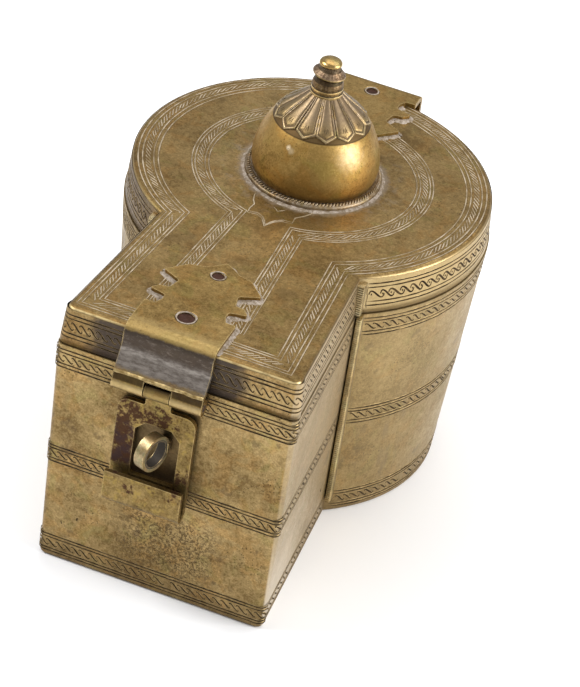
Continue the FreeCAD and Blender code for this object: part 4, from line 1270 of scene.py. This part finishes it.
def skirt_skins(skirt):
    """The flared outer faces of the skirts."""
    for wall, name in zip(skirt_walls(), ("round_skirt_face", "spout_skirt_face")):
        shape = Shape()
        rows = []
        for s in wall.path.lengths:
            row = [wall.at(s, z, 0.02)[0] for z in (LID_TOP - 0.6, SKIRT_TOP - 2.0, SKIRT_LOW + 2.0, SKIRT_LOW + 0.02)]
            inner, out = wall.at(s, SKIRT_LOW + 0.02, 0.0)
            row.append(inner - Vector((out.x, out.y, 0)) * (SKIRT_LEAN + 0.2))
            rows.append(row)
        shape.grid(rows)
        shape.build(name, "lid", [skirt])


def engrave_walls(recipe, dark, edge):
    round_skirt, spout_skirt = skirt_walls()
    guides = Guides()
    ring_walls(guides, round_skirt, SKIRT_LINES, (SKIRT_ROPE,))
    # Two upright cuts where the round skirt starts beside the corner strip
    for inset, width in ((1.1, 1.0), (2.3, 0.7)):
        s = round_skirt.path.total - inset
        guides.add([round_skirt.at(s - 0.1 * math.sin(i), SKIRT_LOW + 0.5 + 0.5 * i, 0.0) for i in range(17)], width)
    grow(recipe, guides.mesh("round_skirt_lines"), "engraving_round_skirt", "lid", "brass_sheet", floor=dark, edges=edge,
         line_width=LINE, stroke_width=EYE_LINE, pitch=2.75, half_height=1.08, reach=0.74, hook=1.0, eye=0.55,
         side=-1.0, seed=11)
    guides = Guides()
    ring_walls(guides, spout_skirt, SKIRT_LINES, (SKIRT_ROPE,))
    grow(recipe, guides.mesh("spout_skirt_lines"), "engraving_spout_skirt", "lid", "brass_sheet", floor=dark, edges=edge,
         line_width=LINE, stroke_width=STROKE, pitch=2.15, half_height=1.05, reach=0.66, hook=0.85, side=-1.0, seed=12)
    guides = Guides()
    foot_radius = RIM_RADIUS - ROUND_TAPER
    foot_side = BODY_SIDE - SIDE_TAPER
    walls = (
        Wall(round_line(RIM_RADIUS, BODY_SIDE), round_line(foot_radius, foot_side), RIM, FOOT),
        Wall(spout_line(RIM_RADIUS, BODY_SIDE, RIM_FRONT, BODY_CORNER),
             spout_line(foot_radius, foot_side, FOOT_FRONT, BODY_CORNER), RIM, FOOT),
    )
    for wall in walls:
        ring_walls(guides, wall, BODY_LINES, BODY_ROPES)
    # Two short cracks low on the front's left and a deep pit on the spout's right side
    front = wall.path.total / 2
    for across, level, lean in ((24.7, 11.0, 0.35), (21.0, 13.5, -0.3)):
        guides.add([wall.at(front + across + lean * i * 0.3, level + 0.3 * i, 0.0) for i in range(4)], 2.2)
    guides.add([wall.at(7.0 + 0.25 * i, 12.7 + 0.08 * i, 0.0) for i in range(4)], 4.5)
    grow(recipe, guides.mesh("body_lines"), "engraving_body", "body", "brass_sheet", floor=dark, edges=edge,
         line_width=LINE, stroke_width=STROKE, pitch=2.15, half_height=0.85, reach=0.62, hook=0.8, side=-1.0, seed=13)


# Dome, petals and finial

def profile_of(node, step=0.25):
    """Heights above the lid and outer radii of a turned node, from its corners."""
    widest = {}
    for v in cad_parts[node].data.vertices:
        radius = math.hypot(v.co.x, v.co.y) / MM
        key = round((v.co.z / MM - LID_TOP) / step)
        widest[key] = max(widest.get(key, 0.0), radius)
    keys = sorted(widest)
    return [(k * step, widest[k]) for k in keys]


def table_value(table, x):
    """Value at x in a table of (x, value) pairs in rising order, straight between them."""
    for (x0, v0), (x1, v1) in zip(table, table[1:]):
        if x <= x1:
            return v0 + (v1 - v0) * min(max((x - x0) / (x1 - x0), 0.0), 1.0)
    return table[-1][1]


# The sheet of petals stands off the dome, most of all where it rises to the finial
CROWN_RISE = ((3.6, 2.25), (4.1, 2.1), (5.2, 1.5), (6.5, 0.98), (8.0, 0.66), (9.5, 0.46), (11.0, 0.26), (12.6, 0.08))


class Turned:
    """The outside of the dome: radius at a height, and the way out of it."""

    def __init__(self, node):
        self.table = profile_of(node)
        self.heights = [h for h, r in self.table]

    def radius(self, height):
        i = min(max(bisect.bisect_right(self.heights, height), 1), len(self.table) - 1)
        (h0, r0), (h1, r1) = self.table[i - 1], self.table[i]
        share = min(max((height - h0) / (h1 - h0), 0.0), 1.0)
        return r0 + (r1 - r0) * share

    def height(self, radius):
        """Height on the crown at which the dome has this radius."""
        start, end = 6.0, self.heights[-1]
        for _ in range(40):
            middle = (start + end) / 2
            if self.radius(middle) > radius:
                start = middle
            else:
                end = middle
        return start

    def place(self, turn, radius, offset):
        """Point on the crown at an angle from the front towards +X, this far outside the dome."""
        h = self.height(radius)
        step = 0.6
        slope = math.atan2(self.radius(h - step) - self.radius(h + step), 2 * step)
        r = radius + offset * math.cos(slope)
        z = LID_TOP + h + offset * math.sin(slope) + table_value(CROWN_RISE, radius)
        return Vector((r * math.sin(turn), -r * math.cos(turn), z))


PETALS = 13
PETAL_FIRST = math.radians(-3.0)
PETAL_TIP = 12.05
PETAL_VALLEY = 11.05
PETAL_TOP = 3.6
# Profile across a petal's border: distance from the border, height, and material of the strip outside it
PETAL_BORDER = ((-0.08, -0.30, 0), (0.0, 0.0, 0), (0.09, 0.05, 1), (0.17, 0.22, 2), (0.36, 0.22, 2), (0.44, 0.10, 2),
                (0.52, 0.03, 1), (0.74, 0.03, 1), (0.84, 0.11, 0))
PANEL_STRIPS = 6


def petal_half(half_angle, tip, valley_radius, offset):
    """One side of a petal's outline at this distance inside its border: (arc length, radius) points."""
    h = half_angle
    valley = Vector((h * valley_radius, valley_radius))
    along = (Vector((0.0, tip)) - valley).normalized()
    inward = Vector((-along.y, along.x))
    tilt = math.hypot(1, h)
    turn = -offset * (tilt + inward.x - h * inward.y) / (along.x - h * along.y)
    corner = valley + inward * offset + along * turn
    end = valley + inward * offset
    end += along * (-end.x / along.x)
    points = []
    for i in range(27):
        r = PETAL_TOP + (corner.y - PETAL_TOP) * i / 26
        points.append(Vector((h * r - offset * tilt * min(1.0, r / 8.0), r)))
    for i in range(1, 13):
        points.append(corner.lerp(end, i / 12))
    return points


def petals(dome, panel, groove, ridge):
    """Thirteen petals with raised rims, standing for the plain cap."""
    half = math.pi / PETALS
    outlines = [petal_half(half, PETAL_TIP, PETAL_VALLEY, o) for o, lift, slot in PETAL_BORDER]
    slots = [slot for o, lift, slot in PETAL_BORDER[1:]]
    slots = slots + [0] * PANEL_STRIPS + slots[::-1]
    shape = Shape()
    grid = []
    for i in range(len(outlines[0])):
        border = [(points[i].x / points[i].y, points[i].y, lift) for (o, lift, slot), points in zip(PETAL_BORDER, outlines)]
        turn, r, lift = border[-1]
        row = [dome.place(-a, b, c) for a, b, c in border]
        for n in range(1, PANEL_STRIPS):
            side = -1 + 2 * n / PANEL_STRIPS
            row.append(dome.place(side * turn, r, lift + 0.07 * (1 - side * side)))
        grid.append(row + [dome.place(a, b, c) for a, b, c in border[::-1]])
    shape.grid(grid, slot=slots)
    mesh = bpy.data.meshes.new("petal")
    mesh.from_pydata(shape.points, [], shape.faces)
    mark = mesh.attributes.new("surface", "FLOAT", "FACE")
    mark.data.foreach_set("value", [float(s) for s in shape.slots])
    piece = grow(petal_recipe(), mesh, "petal_relief", "lid", "brass_dome", petals=PETALS, first=PETAL_FIRST,
                 spread=0.014, panel=panel, groove=groove, ridge=ridge)
    weld(piece)
    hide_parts("petal_cap")


def petal_marks(recipe, dome, dark, edge):
    """Three small cuts above each tip."""
    guides = Guides()
    for k in range(PETALS):
        tip = PETAL_FIRST + k * 2 * math.pi / PETALS
        for dx in (-1, 0, 1):
            places = []
            for i in range(5):
                r = 10.7 - 0.24 * i - 0.22 * abs(dx)
                turn = tip + dx * (0.048 - 0.004 * i)
                p = dome.place(turn, r, 0.16)
                places.append((p, (dome.place(turn, r, 1.16) - p).normalized()))
            guides.add(places)
    grow(recipe, guides.mesh("petal_lines"), "petal_marks", "lid", "brass_dome", floor=dark, edges=edge,
         line_width=0.42, seed=17)


def rope_ring(skin):
    """Twisted wire in the ring round the dome's foot."""
    piece = grow(wire_recipe(), bpy.data.meshes.new("wire"), "dome_rope", "lid", "brass_dome",
                 radius=RING_RADIUS - 0.75, level=RING_TOP + 0.02, skin=skin)
    outward(piece)


# Radius, height above the dome and kind of surface, from the foot to the tip
FINIAL_OUTLINE = ((3.4, 1.0, 0), (4.0, 1.15, 0), (4.08, 1.6, 1), (4.08, 2.3, 1), (3.84, 2.55, 4), (3.95, 2.75, 2),
                  (4.04, 3.1, 2), (3.95, 3.5, 2), (3.82, 3.7, 4), (3.9, 3.95, 0), (3.86, 4.5, 0), (3.6, 5.15, 0),
                  (3.3, 5.7, 5), (3.25, 6.1, 5), (3.55, 6.5, 5), (4.0, 6.84, 5), (4.14, 7.0, 6), (4.09, 7.18, 6),
                  (3.75, 7.5, 3), (3.3, 7.9, 3), (2.92, 8.3, 3), (2.74, 8.48, 4), (2.70, 8.6, 7), (2.68, 9.1, 7),
                  (2.62, 9.42, 7), (2.46, 9.54, 4), (2.74, 9.6, 8), (2.87, 9.76, 8), (2.83, 10.08, 8), (2.62, 10.42, 8),
                  (2.2, 10.72, 8), (1.5, 10.93, 8), (0.7, 11.02, 8), (0.02, 11.04, 8))
# Ripples round each kind: how many and how deep
FINIAL_RIPPLES = {1: (34, 0.05), 2: (34, 0.09), 3: (26, 0.10), 6: (26, 0.07), 7: (24, 0.11)}
FINIAL_SLOTS = {0: 0, 1: 1, 2: 1, 3: 2, 4: 3, 5: 3, 6: 1, 7: 4, 8: 5}


def finial(dome, materials):
    """Turned knob with two cord rings at its foot and a fluted neck, its collar a little out of true."""
    shape = Shape()
    start = dome.heights[-1] + LID_TOP
    around = 104
    parts = 2
    rows = []
    slots = []
    for (r0, h0, kind0), (r1, h1, kind1) in zip(FINIAL_OUTLINE, FINIAL_OUTLINE[1:]):
        for n in range(parts):
            share = n / parts
            r = r0 + (r1 - r0) * share
            h = h0 + (h1 - h0) * share
            count, depth = FINIAL_RIPPLES.get(kind0 if kind0 == kind1 else 0, (1, 0.0))
            tilt = 0.11 * smooth(h, 5.6, 7.0) * (1 - smooth(h, 7.4, 8.8))
            row = []
            for j in range(around):
                t = 2 * math.pi * j / around
                rr = r - depth * 0.5 + depth * 0.5 * math.cos(t * count + h * (3.0 if kind0 == 2 else 0.0))
                row.append(Vector((rr * math.cos(t), rr * math.sin(t), start + h - tilt * rr * math.cos(t - 0.3))))
            rows.append(row)
            slots.append(FINIAL_SLOTS[kind1])
    for row, after, slot in zip(rows, rows[1:], slots):
        shape.grid([row, after], closed=True, slot=slot)
    top = rows[-1][0].z
    tip = shape.add([Vector((0, 0, top))])
    last = tip - around
    for j in range(around):
        shape.face((last + j, last + (j + 1) % around, tip), FINIAL_SLOTS[8])
    piece = shape.build("finial_turned", "lid", materials)
    weld(piece)
    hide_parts("finial")
    return piece


# Corner strips

RIB_PITCH = 0.62


def strip_brass(name, foot, tone):
    """Corner strip with dark grooves between its small ribs."""
    brass = Brass(name, tone, grain=18.0)
    wave = brass.math("COSINE", brass.times(brass.add(brass.z, -foot - 0.5), 2 * math.pi / RIB_PITCH))
    groove = brass.times(brass.band(wave, 0.1, -0.6), brass.band(brass.noise(4.0, detail=4, shift=3), 0.36, 0.52, 0.35, 1.0))
    brass.tint(groove, (0.085, 0.058, 0.026, 1), 0.7)
    brass.wear(0.4, EDGE_TONE, 0.5)
    brass.relief(0.05)
    return brass.done()


def face_corners(node, level):
    """Front face of a corner strip at its foot or top: nearest and furthest from the middle, and its front."""
    near = [v.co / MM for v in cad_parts[node].data.vertices if abs(v.co.z / MM - level) < 0.5]
    front = min(p.y for p in near)
    sides = [abs(p.x) for p in near if p.y < front + 0.3]
    return min(sides), max(sides), front


def reeding(recipe, node, body, skin):
    """Small ribs across the outer face of a corner strip."""
    lo, hi = low(node), high(node)
    side = 1 if lo.x > 0 else -1
    ends = []
    for level, inset in ((lo.z, 0.3), (hi.z, -0.3)):
        near, far, front = face_corners(node, level)
        z = level + inset
        ends.append([Vector((side * (near + 0.05), front, z)), Vector((side * (far - 0.1), front, z)),
                     Vector((side * far, front + 0.15, z)), Vector((side * far, front + 1.0, z))][::side])
    guides = Guides()
    guides.add([(p, Vector((0, 0, 1))) for p in ends[0]], tops=ends[1])
    grow(recipe, guides.mesh("rib_line"), node + "_reeding", body, "brass_sheet",
         count=round((hi.z - lo.z - 0.6) / RIB_PITCH), depth=0.17, half_height=RIB_PITCH * 0.44, skin=skin)


# Dried polish in corners

# Sections to the right of the guide and up, in shares of the reach and the rise
FILLET = ((-0.15, 1.0), (0.25, 0.45), (0.6, 0.16), (1.0, -0.08))
FILM = ((-0.1, -1.0), (0.2, 0.8), (0.6, 1.0), (1.0, -0.2))


def circle_places(centre, radius, level, count, turn=1):
    """Points round a circle, turning left, or right with -1, so that the right hand points out or in."""
    places = []
    for i in range(count + 1):
        t = turn * 2 * math.pi * i / count
        places.append((Vector((centre.x + radius * math.cos(t), centre.y + radius * math.sin(t), level)), Vector((0, 0, 1))))
    return places


def ring_residue(recipe, polish):
    guides = Guides()
    centre = Vector((0.0, 0.0))
    guides.add(circle_places(centre, RING_RADIUS, LID_TOP, 360))
    guides.add(circle_places(centre, RING_RADIUS - 1.7, RING_TOP - 0.1, 360, -1), 0.5)
    grow(recipe, guides.mesh("ring_line"), "residue_dome", "lid", "brass_sheet", reach=0.9, rise=0.42,
         unevenness=1.1, seed=21, skin=polish)


def top_loops(node, level):
    """Outlines of a node's flat upper face, each as points in order."""
    edit = bmesh.new()
    edit.from_mesh(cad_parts[node].data)
    bmesh.ops.remove_doubles(edit, verts=edit.verts, dist=1e-6)
    flat = [f for f in edit.faces if f.normal.z > 0.99 and abs(f.calc_center_median().z / MM - level) < 0.02]
    inside = set(flat)
    rim = [e for e in edit.edges if sum(f in inside for f in e.link_faces) == 1]
    following = {}
    for e in rim:
        for v in e.verts:
            following.setdefault(v.index, []).append(e)
    edit.verts.ensure_lookup_table()
    used = set()
    loops = []
    for e in rim:
        if e.index in used:
            continue
        loop = [e.verts[0].index]
        here = e.verts[1].index
        used.add(e.index)
        while here != loop[0]:
            loop.append(here)
            options = [x for x in following[here] if x.index not in used]
            if not options:
                break
            used.add(options[0].index)
            here = options[0].other_vert(edit.verts[here]).index
        loops.append([edit.verts[i].co / MM for i in loop])
    edit.free()
    return loops


def longest_loop(node, level):
    loops = top_loops(node, level)
    return max(loops, key=lambda loop: sum((a - b).length for a, b in zip(loop, loop[1:])))


def strap_residue(recipe, node, polish, keep, seed):
    """Dried polish along the foot of a strap's outline."""
    loop = longest_loop(node, STRAP_TOP)
    path = Path([Vector((p.x, p.y)) for p in loop], closed=True)
    area = sum(a.x * b.y - b.x * a.y for a, b in zip(path.points, path.points[1:]))
    if area < 0:
        path = Path(path.points[::-1])
    guides = Guides()
    run = []
    count = int(path.total / 0.3)
    for i in range(count + 1):
        p = path.at(path.total * i / count)[0]
        if keep(p):
            run.append((Vector((p.x, p.y, LID_TOP)), Vector((0, 0, 1))))
        if run and (not keep(p) or i == count):
            if len(run) > 3:
                guides.add(run)
            run = []
    grow(recipe, guides.mesh("strap_line"), node + "_residue", "lid", "brass_sheet", reach=1.35, rise=0.5,
         unevenness=1.0, seed=seed, skin=polish)


def strap_lip(materials):
    """The uneven rolled lip of the front strap, just above its knuckles."""
    corners = [v.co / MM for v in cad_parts["front_strap"].data.vertices]
    front = low("front_strap").y
    lip = max((p for p in corners if p.y < front + 1.0), key=lambda p: p.z)
    left, right = low("hasp_pin").x, high("hasp_pin").x
    shape = Shape()
    rows = []
    count = 90
    for i in range(count + 1):
        x = left + 0.12 + (right - left - 0.24) * i / count
        wave = wobble(x, 3.2, 0.36) + wobble(x, 0.9, 0.12, 2.0)
        bulge = 0.9 + wobble(x, 2.0, 0.5, 5.0)
        profile = ((0.42, 0.50), (-0.02, 0.14 + wave * 0.5), (-0.22 * bulge, -0.10 + wave), (-0.27 * bulge, -0.24 + wave),
                   (-0.16 * bulge, -0.38 + wave), (0.06, -0.42 + wave))
        rows.append([Vector((x, lip.y + dy, lip.z + dz)) for dy, dz in profile])
    shape.grid(rows)
    return shape.build("front_strap_lip", "lid", materials)


def rivet_rings(polish):
    """Pale residue in an uneven ring round each strap rivet that shows."""
    guides = Guides()
    for node, width in (("front_strap_near_rivet", 1.0), ("front_strap_far_rivet", 0.8), ("rear_strap_edge_rivet", 0.9)):
        lo, hi = low(node), high(node)
        # The head under the plate is wider than the shank on top
        shank = [v.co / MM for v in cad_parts[node].data.vertices if v.co.z / MM > hi.z - 0.3]
        middle = Vector(((lo.x + hi.x) / 2, (lo.y + hi.y) / 2))
        radius = max((Vector((p.x, p.y)) - middle).length for p in shank)
        guides.add(circle_places(middle, radius, STRAP_TOP, 48), width)
    grow(bead_recipe("rivet_film", FILM), guides.mesh("rivet_lines"), "rivet_residue", "lid", "brass_sheet",
         reach=0.42, rise=0.08, unevenness=1.2, seed=31, skin=polish)


# Stage

def stage():
    shape = bpy.data.meshes.new("floor")
    size = 4.0
    shape.from_pydata([(-size, -size, 0), (size, -size, 0), (size, size, 0), (-size, size, 0)], [], [(0, 1, 2, 3)])
    floor = bpy.data.objects.new("floor", shape)
    bpy.context.scene.collection.objects.link(floor)
    pale = bpy.data.materials.new("pale_floor")
    pale.use_nodes = True
    shader = pale.node_tree.nodes["Principled BSDF"]
    shader.inputs["Base Color"].default_value = (0.97, 0.97, 0.98, 1)
    shader.inputs["Roughness"].default_value = 0.9
    shape.materials.append(pale)


def area_light(name, place, aim, size, power, colour=(1, 1, 1)):
    data = bpy.data.lights.new(name, "AREA")
    data.shape = "RECTANGLE"
    data.size, data.size_y = size
    data.energy = power
    data.color = colour
    lamp = bpy.data.objects.new(name, data)
    bpy.context.scene.collection.objects.link(lamp)
    lamp.location = place
    lamp.rotation_mode = "QUATERNION"
    lamp.rotation_quaternion = (Vector(aim) - Vector(place)).to_track_quat("-Z", "Y")


def light():
    middle = (0.0, -0.02, 0.05)
    area_light("key", (-0.75, -0.25, 0.95), middle, (0.5, 0.5), 10.0)
    area_light("right", (1.02, 0.02, 0.45), middle, (0.6, 0.8), 12.0)
    area_light("top", (0.1, 0.5, 1.1), middle, (1.2, 0.8), 5.5)
    world = bpy.data.worlds.new("studio")
    bpy.context.scene.world = world
    world.use_nodes = True
    tree = world.node_tree
    background = tree.nodes["Background"]
    background.inputs["Strength"].default_value = 1.0
    path = tree.nodes.new("ShaderNodeLightPath")
    mix = tree.nodes.new("ShaderNodeMix")
    mix.data_type = "RGBA"
    tree.links.new(path.outputs["Is Camera Ray"], mix.inputs[0])
    mix.inputs[6].default_value = (0.48, 0.49, 0.50, 1)
    mix.inputs[7].default_value = (1.0, 1.0, 1.0, 1)
    tree.links.new(mix.outputs[2], background.inputs["Color"])


def camera():
    """At the photograph's viewing angle: from the front, a little to the right and above."""
    place = Vector((0.23134, -0.80887, 0.60940))
    aim = Vector((0.00810, -0.02397, 0.04))
    roll = math.radians(9.355)
    focal_pixels = 4025.5
    long_side_pixels = 687
    data = bpy.data.cameras.new("camera")
    data.sensor_width = 36.0
    data.lens = focal_pixels / long_side_pixels * data.sensor_width
    data.clip_start, data.clip_end = 0.05, 20.0
    made = bpy.data.objects.new("camera", data)
    bpy.context.scene.collection.objects.link(made)
    made.location = place
    made.rotation_mode = "QUATERNION"
    upright = (aim - place).to_track_quat("-Z", "Y")
    made.rotation_quaternion = upright @ Quaternion((0, 0, 1), roll)
    bpy.context.scene.camera = made
    bpy.context.scene.view_settings.view_transform = "Standard"


def main():
    camera()
    light()
    stage()
    dome = Turned("dome")
    lid, skirt, body = lid_sheet(), skirt_sheet(), body_sheet()
    dome_skin = dome_brass(LID_TOP + dome.height(PETAL_TIP + 0.06))
    rope, strap, hasp = ring_brass(), fitting_brass(), hasp_brass()
    staple = low("hasp_staple")
    ring_centre = Vector((-1.79, -90.69, (low("hasp_staple").z + high("hasp_staple").z) / 2))
    paint(lid, "lid_plate")
    paint(skirt, "lid_round_skirt", "lid_spout_skirt")
    paint(body, "base_plate", "round_wall", "spout_wall", "seat_collar")
    lid_strip = strip_brass("lid_strip_brass", low("lid_corner_strip_right").z, (0.40, 0.33, 0.19))
    body_strip = strip_brass("body_strip_brass", low("corner_strip_right").z, (0.40, 0.31, 0.155))
    paint(lid_strip, "lid_corner_strip_right", "lid_corner_strip_left")
    paint(body_strip, "corner_strip_right", "corner_strip_left")
    paint(dome_skin, "dome", "finial", "petal_cap")
    paint(rope, "dome_ring")
    paint(strap, "front_strap", "rear_strap", "rear_leaf")
    paint(staple_brass(ring_centre, 3.4), "hasp_staple")
    paint(hasp, "hasp_plate")
    paint(copper(), "front_strap_near_rivet", "front_strap_far_rivet", "rear_strap_edge_rivet",
          "rear_strap_inner_rivet", "rear_leaf_rivets")
    paint(iron(), "hasp_pin", "rear_hinge_pin")
    dark, pale = cut_dark(), cut_pale()
    # Dark edges of the lid's cuts: partly dirt, partly painted shade beside the cut
    lid_edge = cut_edge("engraving_edge_lid", (0.055, 0.034, 0.012, 1), (0.15, 0.095, 0.034, 1))
    wall_edge = cut_edge("engraving_edge_wall", (0.17, 0.115, 0.046, 1), (0.44, 0.32, 0.15, 1))
    engraving = engraving_recipe()
    engrave_lid(engraving, pale, lid_edge)
    skirt_skins(skirt)
    engrave_walls(engraving, dark, wall_edge)
    petal_skin = petal_brass()
    petals(dome, petal_skin, petal_groove(), petal_ridge())
    petal_marks(engraving, dome, dark, petal_skin)
    rope_ring(rope)
    finial(dome, [
        finial_brass("finial_brown", (0.20, 0.130, 0.062), 0.46, 21.0),
        finial_brass("finial_bright", (0.44, 0.315, 0.135), 0.30, 22.0, 0.25),
        finial_brass("finial_grey_brown", (0.21, 0.140, 0.085), 0.46, 23.0),
        finial_brass("finial_dark", (0.060, 0.040, 0.020), 0.55, 24.0, 0.2),
        finial_brass("finial_ribs", (0.135, 0.098, 0.060), 0.50, 25.0, 0.3),
        finial_brass("finial_cap", (0.36, 0.245, 0.090), 0.28, 26.0, 0.15),
    ])
    ribs = rib_recipe()
    for side in ("right", "left"):
        reeding(ribs, "corner_strip_" + side, "body", body_strip)
        reeding(ribs, "lid_corner_strip_" + side, "lid", lid_strip)
    polish = residue()
    fillets = bead_recipe("dried_fillet", FILLET)
    ring_residue(fillets, polish)
    rivet_rings(polish)
    strap_lip([cut_edge("strap_lip_brass", (0.30, 0.20, 0.075, 1), (0.66, 0.50, 0.24, 1))])
    strap_middle = (STRAP_LEFT + STRAP_RIGHT) / 2
    strap_residue(fillets, "front_strap", polish,
                  lambda p: p.y > -LID_FRONT + 1.0 and (p.x > strap_middle or p.y > -72.0), 41)
    strap_residue(fillets, "rear_strap", polish, lambda p: p.y < LID_RADIUS - 3.0, 42)


main()
